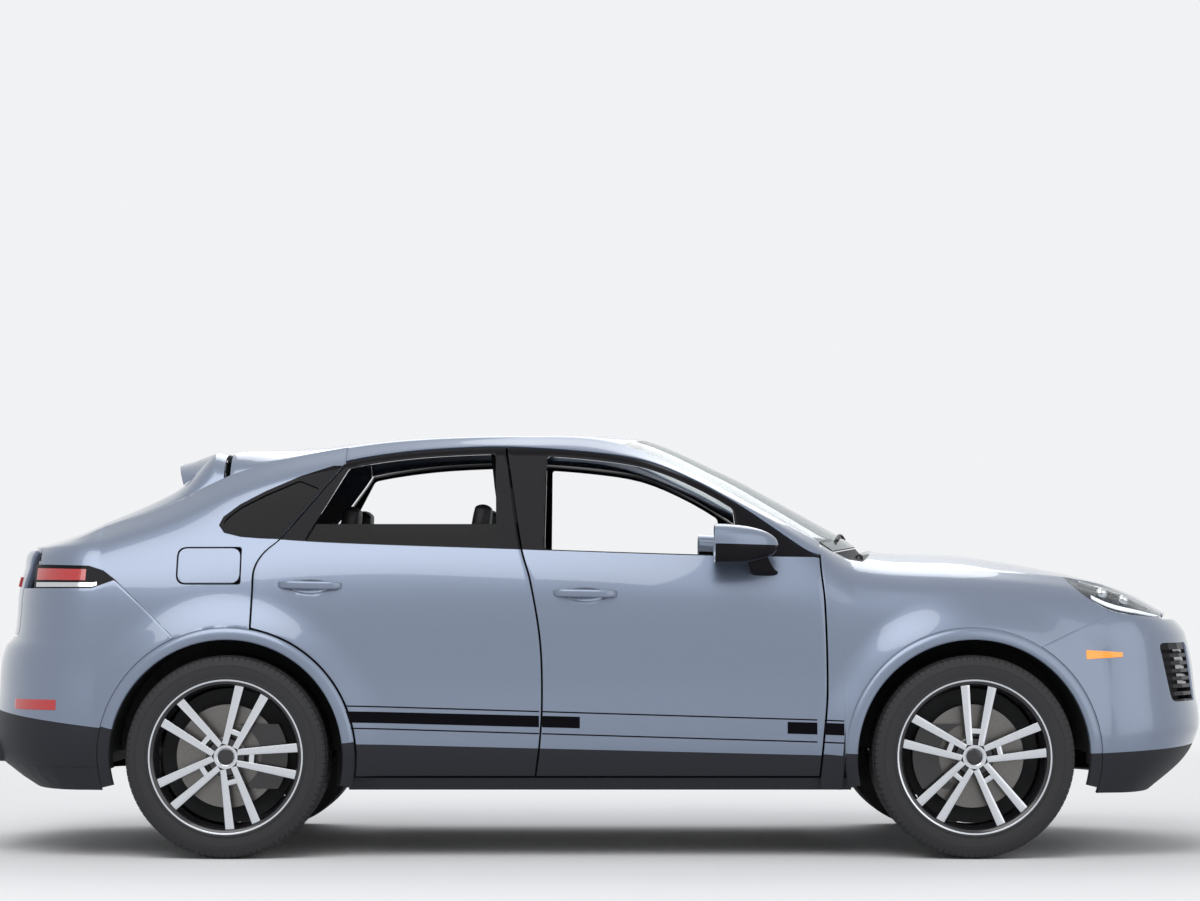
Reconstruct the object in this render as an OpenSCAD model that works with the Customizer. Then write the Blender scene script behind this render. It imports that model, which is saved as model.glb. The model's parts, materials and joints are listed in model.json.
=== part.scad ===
// Coupe sport utility vehicle, standing on its wheels.
// +X runs to the nose, +Y to the left side and +Z up. The origin is on the ground
// under the middle of the vehicle. All lengths are in millimetres.

/* [Overall] */
// Length from nose to tail
body_length = 4930; // [4860:5:5000]
// Width over the wheel arches, without mirrors
body_width = 1983; // [1960:1:2010]
// Height of the roof above the ground
body_height = 1678; // [1660:1:1700]
// Distance between the axles
wheelbase = 2895; // [2870:5:2920]
// Distance from the nose to the front axle
front_overhang = 1007; // [985:1:1030]

/* [Wheels] */
// Outside diameter of the tyres
tyre_d = 784; // [770:1:796]
// Width of the front tyres
front_tyre_w = 285; // [265:1:295]
// Width of the rear tyres
rear_tyre_w = 315; // [295:1:325]
// Diameter over the rim flanges
rim_d = 598; // [580:1:606]
// Distance of a tyre's outer wall inside the body's half width
tyre_inset = 17; // [12:1:30]
// Number of spoke pairs
spoke_pairs = 5; // [5:1:6]
// Width of one spoke at the rim
spoke_w = 30; // [24:1:36]
// Diameter of the brake discs
disc_d = 400; // [360:1:410]
// Thickness of the brake discs
disc_t = 36; // [30:1:40]
// Radius of the wheel spindles
spindle_r = 30; // [26:1:34]

/* [Arches] */
// Radius of the wheel openings
arch_r = 452; // [445:1:460]
// Width of the trim round each wheel opening
trim_w = 48; // [40:1:52]
// How far the body swells out over the front wheels
front_flare = 40; // [34:1:44]
// How far the body swells out over the rear wheels
rear_flare = 35; // [30:1:40]

/* [Panels] */
// Gap between a moving panel and its neighbour
shut_gap = 8; // [6:0.5:10]
// Gap between two fixed panels
seam = 0.5; // [0.3:0.1:0.8]
// Thickness of a door below the window line
door_t = 85; // [70:1:95]
// Thickness of a door's window frame
frame_t = 42; // [36:1:48]
// How much smaller a door is at its inner face, on each edge
door_draft = 20; // [18:1:22]
// Height of the doors' lower edge
door_bottom = 317; // [310:1:330]
// Thickness of the window glass
glass_t = 5; // [4:0.5:6]
// Thickness of a roof pillar
pillar_t = 46; // [40:1:54]

/* [Hinges] */
// Distance of a door's hinge axis behind its front edge
hinge_back = 75; // [68:1:80]
// Distance of a door's hinge axis inside its outer face
hinge_in = 26; // [22:1:30]
// Radius of a hinge pin
pin_r = 7; // [6:0.5:8]
// Running clearance round a pin or spindle
run_gap = 0.06; // [0.04:0.01:0.09]
// Height of the pocket in a door for one hinge
hinge_pocket_h = 70; // [60:1:90]

/* [Cabin] */
// Width of a front seat
seat_w = 520; // [480:5:540]
// Diameter of the steering wheel
steering_wheel_d = 375; // [350:5:390]

/* [Hidden] */
$fn = 48;
half_w = body_width / 2;
x_nose = body_length / 2;
x_tail = -body_length / 2;
x_fa = x_nose - front_overhang;
x_ra = x_fa - wheelbase;
wheel_r = tyre_d / 2;
front_wheel_y = half_w - tyre_inset - front_tyre_w / 2;
rear_wheel_y = half_w - tyre_inset - rear_tyre_w / 2;
trim_r = arch_r + trim_w;
kingpin_y = front_wheel_y - 72;
roof_z = body_height;
belt_z = 1190;

// Colours of the finishes
paint = "#7486a0";
dark_trim = "#24262b";
rubber = "#161616";
alloy = "#b9bcc2";
steel = "#6d7076";
tint = "#30343a";
lamp_red = "#b01d1d";
lamp_clear = "#c9d3de";
leather = "#1d1d20";

// Interpolation

function clamp(v, lo, hi) = min(max(v, lo), hi);

// Index of the interval of a list of [key, value...] rows that holds v
function interval(rows, v, i = 0) = i >= len(rows) - 2 || v < rows[i + 1][0] ? i : interval(rows, v, i + 1);

// Slope of the values at row i, from the rows beside it
function slope(rows, i) =
    let (last = len(rows) - 1, a = max(i - 1, 0), b = min(i + 1, last))
    (rows[b][1] - rows[a][1]) / (rows[b][0] - rows[a][0]);

// Smooth curve through [key, value] rows, where a value is a number or a list
function curve(rows, v) =
    let (i = interval(rows, v), h = rows[i + 1][0] - rows[i][0], t = clamp((v - rows[i][0]) / h, 0, 1))
    (2 * t * t * t - 3 * t * t + 1) * rows[i][1] + (t * t * t - 2 * t * t + t) * h * slope(rows, i)
    + (3 * t * t - 2 * t * t * t) * rows[i + 1][1] + (t * t * t - t * t) * h * slope(rows, i + 1);

function mix(a, b, t) = a * (1 - t) + b * t;

// Body sections: each row is a station along X, with [height, half width] points up the side

function across(inset) = half_w - inset;

rear_end_x = x_ra - 515;
front_end_x = x_fa + 393;
nose_start_x = x_fa + 515;
hood_rear_x = x_fa - 410;
header_x = x_fa - 1358;
cowl_x = x_fa - 527;

sections = [
    [rear_end_x, [[262, across(111)], [450, across(66)], [700, across(66)], [950, across(86)],
                  [1100, across(121)], [1215, across(191)], [roof_z - 386, across(319)]]],
    [x_ra - 263, [[262, across(91)], [450, across(46)], [700, across(46)], [960, across(66)],
                  [1130, across(111)], [1290, across(201)], [roof_z - 296, across(326)]]],
    [x_ra, [[262, across(83)], [450, across(41)], [700, across(41)], [975, across(56)],
            [1165, across(106)], [1400, across(226)], [roof_z - 173, across(351)]]],
    [x_ra + 250, [[260, across(83)], [450, across(39)], [700, across(46)], [990, across(55)],
                  [1190, across(105)], [1480, across(246)], [roof_z - 106, across(361)]]],
    [x_ra + 637, [[258, across(86)], [445, across(38)], [700, across(51)], [1000, across(54)],
                  [1205, across(104)], [1555, across(279)], [roof_z - 46, across(379)]]],
    [x_ra + 1137, [[258, across(88)], [440, across(38)], [690, across(54)], [1000, across(55)],
                   [1195, across(104)], [1585, across(289)], [roof_z - 26, across(391)]]],
    [x_fa - 1398, [[258, across(88)], [440, across(38)], [690, across(54)], [995, across(55)],
                   [1185, across(104)], [1560, across(279)], [roof_z - 46, across(391)]]],
    [x_fa - 1058, [[258, across(88)], [440, across(38)], [690, across(54)], [990, across(55)],
                   [1175, across(107)], [1455, across(234)], [roof_z - 188, across(323)]]],
    [x_fa - 818, [[258, across(88)], [440, across(39)], [690, across(53)], [980, across(56)],
                  [1160, across(111)], [1330, across(191)], [1362, across(286)]]],
    [x_fa - 598, [[258, across(88)], [440, across(40)], [685, across(52)], [960, across(57)],
                  [1110, across(101)], [1195, across(161)], [1238, across(249)]]],
    [x_fa - 448, [[258, across(88)], [440, across(42)], [680, across(52)], [920, across(60)],
                  [1040, across(98)], [1115, across(176)], [1155, across(273)]]],
    [x_fa, [[258, across(86)], [440, across(46)], [680, across(56)], [890, across(66)],
            [1010, across(111)], [1082, across(191)], [1122, across(291)]]],
    [front_end_x, [[240, across(111)], [440, across(86)], [660, across(91)], [850, across(111)],
                   [970, across(161)], [1045, across(236)], [1090, across(341)]]],
    [nose_start_x, [[240, across(132)], [440, across(93)], [660, across(98)], [850, across(119)],
                    [960, across(167)], [1020, across(236)], [1068, across(375)]]]
];
TOP = 6;

// Heights and half widths of the section at x
function section(x) = curve(sections, x);

// Swell of the body round one wheel
flare_reach = 190;
function flare(x, z, axle_x) =
    let (r = norm([x - axle_x, z - wheel_r]), t = clamp((r - arch_r) / flare_reach, 0, 1))
    (axle_x == x_fa ? front_flare : rear_flare) * (1 + cos(180 * t)) / 2;

// Nose and tail at the centre line, by height
nose_line = [[180, x_nose - 330], [240, x_nose - 235], [360, x_nose - 75], [480, x_nose - 4], [540, x_nose],
             [620, x_nose - 14], [740, x_nose - 26], [830, x_nose - 44], [880, x_nose - 62], [935, x_nose - 118],
             [1000, x_nose - 245], [1050, x_nose - 365], [1096, x_nose - 490], [1140, x_nose - 560]];
tail_line = [[200, x_tail + 300], [270, x_tail + 165], [340, x_tail + 52], [400, x_tail + 8], [510, x_tail],
             [620, x_tail + 12], [744, x_tail + 20], [815, x_tail + 40], [850, x_tail + 72], [910, x_tail + 84],
             [1040, x_tail + 92], [1120, x_tail + 112], [1205, x_tail + 142], [1235, x_tail + 274],
             [1302, x_tail + 400], [1400, x_tail + 600]];
corner_n = 2.4;

// Narrowing of the plan towards the nose or the tail: 1 along the side and 0 at the centre line
function narrowing(x, z) =
    let (reach = x > nose_start_x ? (x - nose_start_x) / (curve(nose_line, z) - nose_start_x)
               : x < rear_end_x ? (rear_end_x - x) / (rear_end_x - curve(tail_line, z)) : 0)
    pow(max(1 - pow(clamp(reach, 0, 1), corner_n), 0), 1 / corner_n);

// Half width of the body at any place on its side
function side_y(x, z) =
    let (xc = clamp(x, rear_end_x, nose_start_x), s = section(xc), y = curve(s, clamp(z, s[0][0], s[TOP][0])))
    (y + flare(xc, z, x_fa) + flare(xc, z, x_ra)) * narrowing(x, z);

// Top edge of the side: beside the hood, the screen, the roof and the tailgate
lamp_top_line = [[front_end_x, 1090], [x_nose - 465, 1062], [x_nose - 346, 1015], [x_nose - 229, 942]];
deck_edge_line = [[x_tail + 225, 1192], [x_tail + 335, 1218], [x_tail + 420, 1248], [rear_end_x, roof_z - 386]];
function edge_z(x) = x > front_end_x ? curve(lamp_top_line, x)
    : x < rear_end_x ? curve(deck_edge_line, x) : section(x)[TOP][0];
function edge_point(x) = [x, side_y(x, edge_z(x)), edge_z(x)];

function on_side(x, z, depth = 0) = [x, side_y(x, z) - depth, z];

// Point of the nose or tail, where turn runs from 0 on the left side to 90 at the centre line
function on_end(start_x, centre_line, turn, z, depth = 0) =
    let (x_end = curve(centre_line, z), reach = x_end - start_x, w = side_y(start_x, z),
         c = max(cos(turn), 0), s = max(sin(turn), 0), away = sign(reach))
    [start_x + (reach - away * depth) * pow(s, 2 / corner_n), (w - depth) * pow(c, 2 / corner_n), z];

// Closed solid between an outer and an inner grid of points
module shell(outer, inner) {
    nu = len(outer) - 1;
    nv = len(outer[0]) - 1;
    count = (nu + 1) * (nv + 1);
    points = concat([for (row = outer) each row], [for (row = inner) each row]);
    function at(i, j) = i * (nv + 1) + j;
    function quad(a, b, c, d) = [[a, b, c], [a, c, d]];
    faces = [
        for (i = [0:nu - 1]) for (j = [0:nv - 1]) each quad(at(i, j), at(i + 1, j), at(i + 1, j + 1), at(i, j + 1)),
        for (i = [0:nu - 1]) for (j = [0:nv - 1])
            each [[count + at(i, j), count + at(i + 1, j + 1), count + at(i + 1, j)],
                  [count + at(i, j), count + at(i, j + 1), count + at(i + 1, j + 1)]],
        for (i = [0:nu - 1]) each quad(at(i + 1, 0), at(i, 0), count + at(i, 0), count + at(i + 1, 0)),
        for (i = [0:nu - 1]) each quad(at(i, nv), at(i + 1, nv), count + at(i + 1, nv), count + at(i, nv)),
        for (j = [0:nv - 1]) each quad(at(0, j), at(0, j + 1), count + at(0, j + 1), count + at(0, j)),
        for (j = [0:nv - 1]) each quad(at(nu, j + 1), at(nu, j), count + at(nu, j), count + at(nu, j + 1))
    ];
    polyhedron(points, faces);
}

function steps(n) = [for (i = [0:n]) i / n];

// Panel of the side between two edges x_low(z), x_high(z), given as lists for the rows of heights
module on_side_panel(us, heights, x_low, x_high, depth_out, depth_in) {
    shell([for (u = us) [for (j = [0:len(heights) - 1])
              on_side(mix(x_low[j], x_high[j], u), heights[j], depth_out[j])]],
          [for (u = us) [for (j = [0:len(heights) - 1])
              on_side(mix(x_low[j], x_high[j], u), heights[j], depth_in[j])]]);
}

function lowered(grid, dz) = [for (row = grid) [for (p = row) p - [0, 0, dz]]];

// Crowned surface between the two top edges, as rows [x on the edge, [bow, crown, flatness]]:
// at the centre line it bows forwards and rises, and its middle is flatter for a higher flatness
function crowned(xs, form, n, inset) =
    [for (i = [0:n]) [for (x = xs)
        let (s = 2 * i / n - 1, f = curve(form, x), k = 1 - pow(abs(s), f[2]), p = edge_point(x))
        [x + f[0] * k, (p[1] - inset) * s, p[2] + f[1] * k]]];
function run(x0, x1, n) = [for (u = steps(n)) mix(x0, x1, u)];

module left_and_right() {
    children();
    mirror([0, 1, 0]) children();
}
module sided(side) {
    if (side > 0) children();
    else mirror([0, 1, 0]) children();
}

// Solid whose outline is drawn on the side view, running through the body's left half
module side_cut(points, y_from = 0, y_to = 1200) {
    translate([0, y_to, 0]) rotate([90, 0, 0]) linear_extrude(y_to - y_from) polygon(points);
}
module wheel_cut(axle_x, r, y_from = 0, y_to = 1200) {
    translate([axle_x, y_from, wheel_r]) rotate([-90, 0, 0]) cylinder(r = r, h = y_to - y_from);
}

// Shut lines on the side view, by height

front_shut_line = [[300, x_fa - 600], [453, x_fa - 586], [647, x_fa - 570], [996, x_fa - 578],
                   [1133, x_fa - 590], [1300, x_fa - 590]];
middle_shut_line = [[300, x_ra + 1195], [453, x_ra + 1214], [608, x_ra + 1222], [841, x_ra + 1214],
                    [1074, x_ra + 1175], [1200, x_ra + 1140], [1600, x_ra + 1075]];
rear_foot = 96;
function rear_door_arc(z) = x_ra + sqrt(max(pow(trim_r + shut_gap, 2) - pow(z - wheel_r, 2), 0));
rear_shut_line = [[wheel_r + sqrt(pow(trim_r + shut_gap, 2) - pow(rear_foot, 2)), x_ra + rear_foot],
                  [1035, x_ra + 99], [1120, x_ra + 104], [1180, x_ra + 137], [1239, x_ra + 203],
                  [1490, x_ra + 407], [1545, x_ra + 447]];
// Top edge of the doors and their windows, by length
door_top_line = [[x_ra + 170, roof_z - 225], [x_ra + 407, roof_z - 143], [x_ra + 661, roof_z - 98],
                 [x_ra + 936, roof_z - 78], [x_ra + 1133, roof_z - 78], [x_fa - 1448, roof_z - 102],
                 [x_fa - 1251, roof_z - 137], [x_fa - 1055, roof_z - 220], [x_fa - 878, roof_z - 326],
                 [x_fa - 642, roof_z - 489], [x_fa - 590, roof_z - 510]];
function door_top(x) = curve(door_top_line, x);

door_depth = [[0, door_t], [belt_z - 70, door_t], [belt_z - 20, frame_t], [2000, frame_t]];
function door_depth_at(z) = lookup(z, door_depth);

// Floor, sills and the frame of the cabin

floor_z = 255;
floor_t = 30;
floor_half_w = 600;
sill_top = 400;
firewall_x = x_fa - 470;
cabin_rear_x = x_ra + 420;
boot_floor_z = 690;
rail_y = 400;
rail_w = 72;
front_rail_z = 480;
rail_h = 130;
rear_rail_y = 560;
rear_rail_z = 560;
liner_gap = 7;
liner_t = 5;
front_liner_y = rail_y + rail_w / 2 + 0.3;
rear_liner_y = rear_rail_y + rail_w / 2 + 0.3;
boot_half_w = rear_liner_y - 6;

module block(low, high) {
    translate(low) cube(high - low);
}

module floor_pan() color(dark_trim) {
    tunnel_h = 120;
    tunnel_w = 260;
    difference() {
        union() {
            block([cabin_rear_x, -floor_half_w, floor_z], [firewall_x, floor_half_w, floor_z + floor_t]);
            block([rear_seat_x + 10, -tunnel_w / 2, floor_z], [firewall_x, tunnel_w / 2, floor_z + tunnel_h]);
        }
        block([rear_seat_x + 30, -tunnel_w / 2 + 20, floor_z - 1],
              [firewall_x + 1, tunnel_w / 2 - 20, floor_z + tunnel_h - 20]);
    }
    // firewall and the step up to the luggage floor
    block([firewall_x, 4 - front_liner_y, floor_z], [firewall_x + 20, front_liner_y - 4, 1080]);
    block([firewall_x, -750, 880], [firewall_x + 20, 750, 1080]);
    block([cabin_rear_x - 20, -boot_half_w, floor_z], [cabin_rear_x, boot_half_w, boot_floor_z]);
    block([x_tail + 190, -boot_half_w, boot_floor_z - 20], [cabin_rear_x, boot_half_w, boot_floor_z]);
    // chassis rails to both bumpers
    left_and_right() {
        block([firewall_x + 20, rail_y - rail_w / 2, front_rail_z - rail_h / 2],
              [x_nose - 230, rail_y + rail_w / 2, front_rail_z + rail_h / 2]);
        block([x_tail + 190, rear_rail_y - rail_w / 2, rear_rail_z - rail_h / 2],
              [cabin_rear_x - 20, rear_rail_y + rail_w / 2, rear_rail_z + rail_h / 2]);
    }
    // bumper beams
    block([x_nose - 230, -620, front_rail_z - 60], [x_nose - 180, 620, front_rail_z + 60]);
    block([x_tail + 140, -620, rear_rail_z - 80], [x_tail + 190, 620, rear_rail_z + 60]);
    block([x_tail + 170, -boot_half_w, rear_rail_z], [x_tail + 190, boot_half_w, 830]);
    hood_brackets();
}

sill_rear_x = x_ra + arch_r + 20;
sill_front_x = x_fa - arch_r - 20;
module sills() color(dark_trim) left_and_right() {
    profile = [[floor_half_w, floor_z], [across(102), 262], [across(84), door_bottom - 8], [across(190), door_bottom - 8],
               [across(190), sill_top], [across(250), sill_top], [across(250), floor_z + floor_t], [floor_half_w, floor_z + floor_t]];
    translate([sill_rear_x, 0, 0]) rotate([90, 0, 90]) linear_extrude(sill_front_x - sill_rear_x) polygon(profile);
}

// Point inside a side panel: v runs from its lower edge to the top edge, where a vertical rim closes it
rim_h = 28;
function inside_panel(x, low_z, v, depth) =
    let (p = edge_point(x), h = p[2] - low_z, rim = min(rim_h, depth, 0.6 * h))
    v < 1 ? on_side(x, mix(low_z, p[2] - rim, v), min(depth, 1.3 * h)) : p - [0, 0, rim];

// Stations along the edges of the roof and the windshield, shared by the panels below them
roof_rear_x = x_ra - 28;
header_gap = 0.9;
top_inset = 0.9;
roof_xs = run(roof_rear_x, header_x, 12);
screen_xs = run(header_x + header_gap, cowl_x, 8);
function between(xs, low, high) = [for (x = xs) if (x > low + 1 && x < high - 1) x];

// Pillars and rails: the part of the side above the doors, and the middle pillars behind them
rail_rear_x = x_ra + 447 - shut_gap + seam;
rail_front_x = x_fa - 590 + shut_gap - seam;
module rail_panel() {
    xs = concat([rail_rear_x], between(concat(roof_xs, screen_xs), rail_rear_x, rail_front_x), [rail_front_x]);
    rows = steps(3);
    function low_z(x) = min(door_top(x) + shut_gap, edge_z(x) - 10);
    shell([for (x = xs) [for (v = rows) on_side(x, mix(low_z(x), edge_z(x), v))]],
          [for (x = xs) [for (v = rows) inside_panel(x, low_z(x), v, pillar_t)]]);
}

// Depth of the pillars' outer faces behind the body's side, clear of the doors
pillar_clear = 34;
post_clear = 42;
pillar_depth = [[0, door_t + pillar_clear], [belt_z + 20, door_t + pillar_clear],
                [belt_z + 110, frame_t + pillar_clear / 2]];
module middle_pillar() {
    heights = [sill_top + seam, 600, 800, 1000, 1120, belt_z + 20, belt_z + 110, 1440, door_top(x_ra + 1100) + 30];
    centre = [for (z = heights) curve(middle_shut_line, z)];
    inside = [for (z = heights) lookup(z, pillar_depth)];
    on_side_panel(steps(2), heights, [for (x = centre) x - 70], [for (x = centre) x + 60],
                  inside, [for (d = inside) d + 60]);
}

// Post behind the fender that carries the front door, up to the foot of the windshield pillar
module front_post() {
    heights = [sill_top + seam, 600, 800, 950, 1080];
    on_side_panel(steps(2), heights, [for (z = heights) front_axis_x + 10], [for (z = heights) front_axis_x + 92],
                  [for (z = heights) door_t + post_clear], [for (z = heights) door_t + post_clear + 110]);
    block([front_axis_x + 10, across(270), 1060], [front_axis_x + 36, across(220), 1200]);
}

module roof_rails() color(paint) left_and_right() rail_panel();
module door_posts() color(dark_trim) left_and_right() {
    middle_pillar();
    front_post();
    hinge_arms(front_axis_x);
    hinge_arms(rear_axis_x);
}

// Roof and screens
gate_crown = 106;
gate_flatness = 9;
roof_form = [[roof_rear_x, [0, gate_crown, gate_flatness]], [x_ra + 147, [0, 64, 5]], [x_ra + 315, [0, 44, 3.4]],
             [x_ra + 637, [0, 30, 2.6]], [x_fa - 1700, [10, 26, 2.4]], [header_x, [110, 36, 2.4]]];
screen_form = [[header_x, [110, 36, 2.4]], [cowl_x, [140, 26, 2.2]]];

module roof() color(paint) {
    top = crowned(roof_xs, roof_form, 16, top_inset);
    shell(top, lowered(top, 22));
    gate_lugs();
}

module windshield() color(tint) {
    top = crowned(screen_xs, screen_form, 16, top_inset);
    shell(top, lowered(top, glass_t * 1.4));
}

// Rear quarter: from the rear door back to the lamp, the bumper and the tailgate
lamp_tip_x = x_ra - 447;
tail_lamp_low = 1045;
tail_lamp_high = 1138;
tailgate_half_w = 624;
quarter_end_x = x_tail + 265;
quarter_tail_t = 12;
ring_step = 8;
function ring_x(axle_x, k) = axle_x + (trim_r + seam) * sin(k * ring_step);
split_x = ring_x(x_ra, -3);
function arch_z(x, axle_x) = wheel_r + sqrt(max(pow(trim_r + seam, 2) - pow(x - axle_x, 2), 0));
function rear_shut_z(x) = lookup(x, [for (p = rear_shut_line) [p[1], p[0]]]);
function rear_split_z(x) = lookup(x, [[lamp_tip_x, 1075], [split_x, arch_z(split_x, x_ra)]]);
function quarter_low(x) =
    x < lamp_tip_x ? tail_lamp_high + seam
    : x < split_x ? rear_split_z(x)
    : x < rear_shut_line[0][1] - shut_gap ? arch_z(x, x_ra) : rear_shut_z(x + shut_gap);

// Fuel flap, on the right quarter
flap_x0 = x_ra - 200;
flap_x1 = x_ra + 43;
flap_z0 = 1064;
flap_z1 = 1200;
flap_gap = 6;
flap_undercut = 14;
flap_t = 7;
flap_hinge_back = 14;
flap_hinge_in = 14;
flap_pin_r = 3;
flap_lug = 44;
flap_pocket = 34;
flap_axis_low = on_side(flap_x1 - flap_hinge_back, flap_z0, flap_hinge_in);
flap_axis_high = on_side(flap_x1 - flap_hinge_back, flap_z1, flap_hinge_in);
flap_lean = atan2(flap_axis_low[1] - flap_axis_high[1], flap_z1 - flap_z0);

module flap_patch(grow, depth_out, depth_in) {
    heights = [for (v = steps(3)) mix(flap_z0 - grow, flap_z1 + grow, v)];
    on_side_panel(steps(4), heights, [for (z = heights) flap_x0 - grow], [for (z = heights) flap_x1 + grow],
                  [for (z = heights) depth_out], [for (z = heights) depth_in]);
}
// Places its children with Z along the flap's hinge, at the middle of the hinge
module at_flap_hinge() {
    translate((flap_axis_low + flap_axis_high) / 2) rotate([flap_lean, 0, 0]) children();
}

module quarter() {
    xs = concat([for (u = steps(8)) mix(quarter_end_x, lamp_tip_x - 1, u)], [lamp_tip_x],
                [for (u = steps(3)) mix(lamp_tip_x + 60, split_x, u)],
                [for (k = [-2:1]) ring_x(x_ra, k)], [rear_shut_line[0][1] - shut_gap - 1],
                [for (k = [0:4]) rear_shut_line[k][1] - shut_gap],
                between(roof_xs, rear_shut_line[4][1] - shut_gap, rear_shut_line[5][1] - shut_gap),
                [for (k = [5, 6]) rear_shut_line[k][1] - shut_gap]);
    rows = steps(6);
    function depth(x) = x < lamp_tip_x ? quarter_tail_t : pillar_t;
    shell([for (x = xs) [for (v = rows) on_side(x, mix(quarter_low(x), edge_z(x), v))]],
          [for (x = xs) [for (v = rows) inside_panel(x, quarter_low(x), v, depth(x))]]);
}

// Rear side window, fixed in the quarter
quarter_window = [[x_ra + 181, 1246], [x_ra + 236, 1300], [x_ra + 345, 1436], [x_ra + 267, roof_z - 206],
                  [x_ra + 31, roof_z - 318], [x_ra - 36, 1296], [x_ra + 30, 1254]];

module quarter_with_window() {
    difference() {
        quarter();
        side_cut(quarter_window, 600);
    }
}
module quarter_left() color(paint) quarter_with_window();
module quarter_right() color(paint) mirror([0, 1, 0]) {
    difference() {
        quarter_with_window();
        flap_patch(flap_gap, -20, flap_t + 1);
        flap_patch(flap_undercut, flap_t, flap_pocket);
    }
    // lugs that carry the flap's pins
    at_flap_hinge() for (end = [-1, 1]) translate([0, 0, end * (flap_lug / 2 + 6)]) difference() {
        union() {
            cylinder(r = 6, h = 10, center = true);
            translate([-6, flap_hinge_in - flap_pocket - 4, -5]) cube([12, flap_pocket - flap_hinge_in + 4, 10]);
        }
        cylinder(r = flap_pin_r + run_gap, h = 12, center = true);
    }
}
module fuel_flap() color(paint) mirror([0, 1, 0]) {
    flap_patch(0, 0, flap_t);
    at_flap_hinge() {
        cylinder(r = flap_pin_r, h = flap_lug + 24, center = true);
        translate([-6, -5, -flap_lug / 2]) cube([12, flap_hinge_in - flap_t + 8, flap_lug]);
    }
}
module quarter_glass() color(tint) left_and_right() intersection() {
    side_cut([for (p = quarter_window) p], 600);
    on_side_panel(steps(4), [1230, 1300, 1400, roof_z - 190], [for (i = [0:3]) x_ra - 60], [for (i = [0:3]) x_ra + 380],
                  [for (i = [0:3]) 8], [for (i = [0:3]) 8 + glass_t]);
}

// Front fender: from the front door to the headlamp and the bumper
lamp_low_line = [[front_end_x, 1082], [x_nose - 549, 1016], [x_nose - 451, 957], [x_nose - 315, 936], [x_nose - 229, 930]];
fender_tip_x = x_nose - 465;
front_split_x = ring_x(x_fa, 4);
function front_split_z(x) = lookup(x, [[front_split_x, arch_z(front_split_x, x_fa)], [fender_tip_x, 940]]);
function fender_low(x) = x < x_fa - trim_r - seam ? 264 : x < front_split_x ? arch_z(x, x_fa) : front_split_z(x);
function fender_high(x) = x >= front_end_x - 0.1 ? curve(lamp_low_line, x) - seam : edge_z(x);
fender_t = 5;

module fender() {
    back = front_shut_line[2][1] + shut_gap;
    xs = concat([back, x_fa - trim_r - seam - 1], [for (k = [-11:4]) ring_x(x_fa, k)],
                [for (u = [1:3]) mix(front_split_x, front_end_x, u / 3)],
                [for (u = [1:3]) mix(front_end_x, fender_tip_x, u / 3)]);
    rows = steps(8);
    function place(x, v, depth) =
        let (z = mix(fender_low(x), fender_high(x), v))
        on_side(x == back ? curve(front_shut_line, z) + shut_gap : x, z, depth);
    shell([for (x = xs) [for (v = rows) place(x, v, 0)]], [for (x = xs) [for (v = rows) place(x, v, fender_t)]]);
}
module fender_left() color(paint) fender();
module fender_right() color(paint) mirror([0, 1, 0]) fender();

// Trim rings and liners of the wheel openings
trim_rise = 6;
trim_depth = 26;
module trim_ring(axle_x) {
    turns = [for (k = [-13:13]) 90 - k * ring_step];
    radii = [arch_r, arch_r + trim_w * 0.2, arch_r + trim_w * 0.7, trim_r];
    rise = [0.4, 1, 1, 0.5];
    function place(turn, k, depth) =
        on_side(axle_x + radii[k] * cos(turn), wheel_r + radii[k] * sin(turn), depth);
    shell([for (turn = turns) [for (k = [0:3]) place(turn, k, -trim_rise * rise[k])]],
          [for (turn = turns) [for (k = [0:3]) place(turn, k, trim_depth)]]);
}
module arch_trims() color(paint) left_and_right() {
    trim_ring(x_fa);
    trim_ring(x_ra);
}

module liner(axle_x, y_in, y_out) {
    r = arch_r + liner_gap + liner_t;
    intersection() {
        difference() {
            wheel_cut(axle_x, r, y_in, y_out);
            wheel_cut(axle_x, r - liner_t, y_in + liner_t, y_out + 1);
        }
        block([axle_x - r - 1, 0, wheel_r + 10], [axle_x + r + 1, 1200, wheel_r + r + 1]);
    }
}
front_liner_out = half_w - 112;
rear_liner_out = half_w - 72;
module wheel_liners() color(dark_trim) left_and_right() {
    difference() {
        liner(x_fa, front_liner_y, front_liner_out);
        block([x_fa - 78, 0, upper_arm_z - shut_gap], [x_fa + 78, 600, upper_arm_z + arm_t + shut_gap]);
    }
    difference() {
        liner(x_ra, rear_liner_y, rear_liner_out);
        block([x_ra - 38, 0, rear_link_zs[1] - shut_gap], [x_ra + 38, 650, rear_link_zs[1] + arm_t + shut_gap]);
    }
}

// Front bumper with its three intakes
bumper_t = 20;
bumper_clear = 1.6;
// Distance of a bumper's edge from the axle, straight up from the height where it leaves the opening
function arch_reach(z, leave_z) = sqrt(pow(trim_r + bumper_clear, 2) - pow(min(z, leave_z) - wheel_r, 2));
bumper_low = 250;
bumper_top = 920;
side_intake = [560, 800, 600, 830];
centre_intake = [500, 400, 560];
function front_top(x) = x < front_split_x ? arch_z(front_split_x, x_fa) - seam
    : x < fender_tip_x ? front_split_z(x) - seam : x < x_nose - 229 ? curve(lamp_low_line, x) - seam : bumper_top;

function nose_columns(n) = concat([for (k = [0:2]) [k / 3, 0]], [for (k = [0:n]) [1, 180 * k / n]],
                                  [for (k = [2:-1:0]) [k / 3, 180]]);
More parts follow.
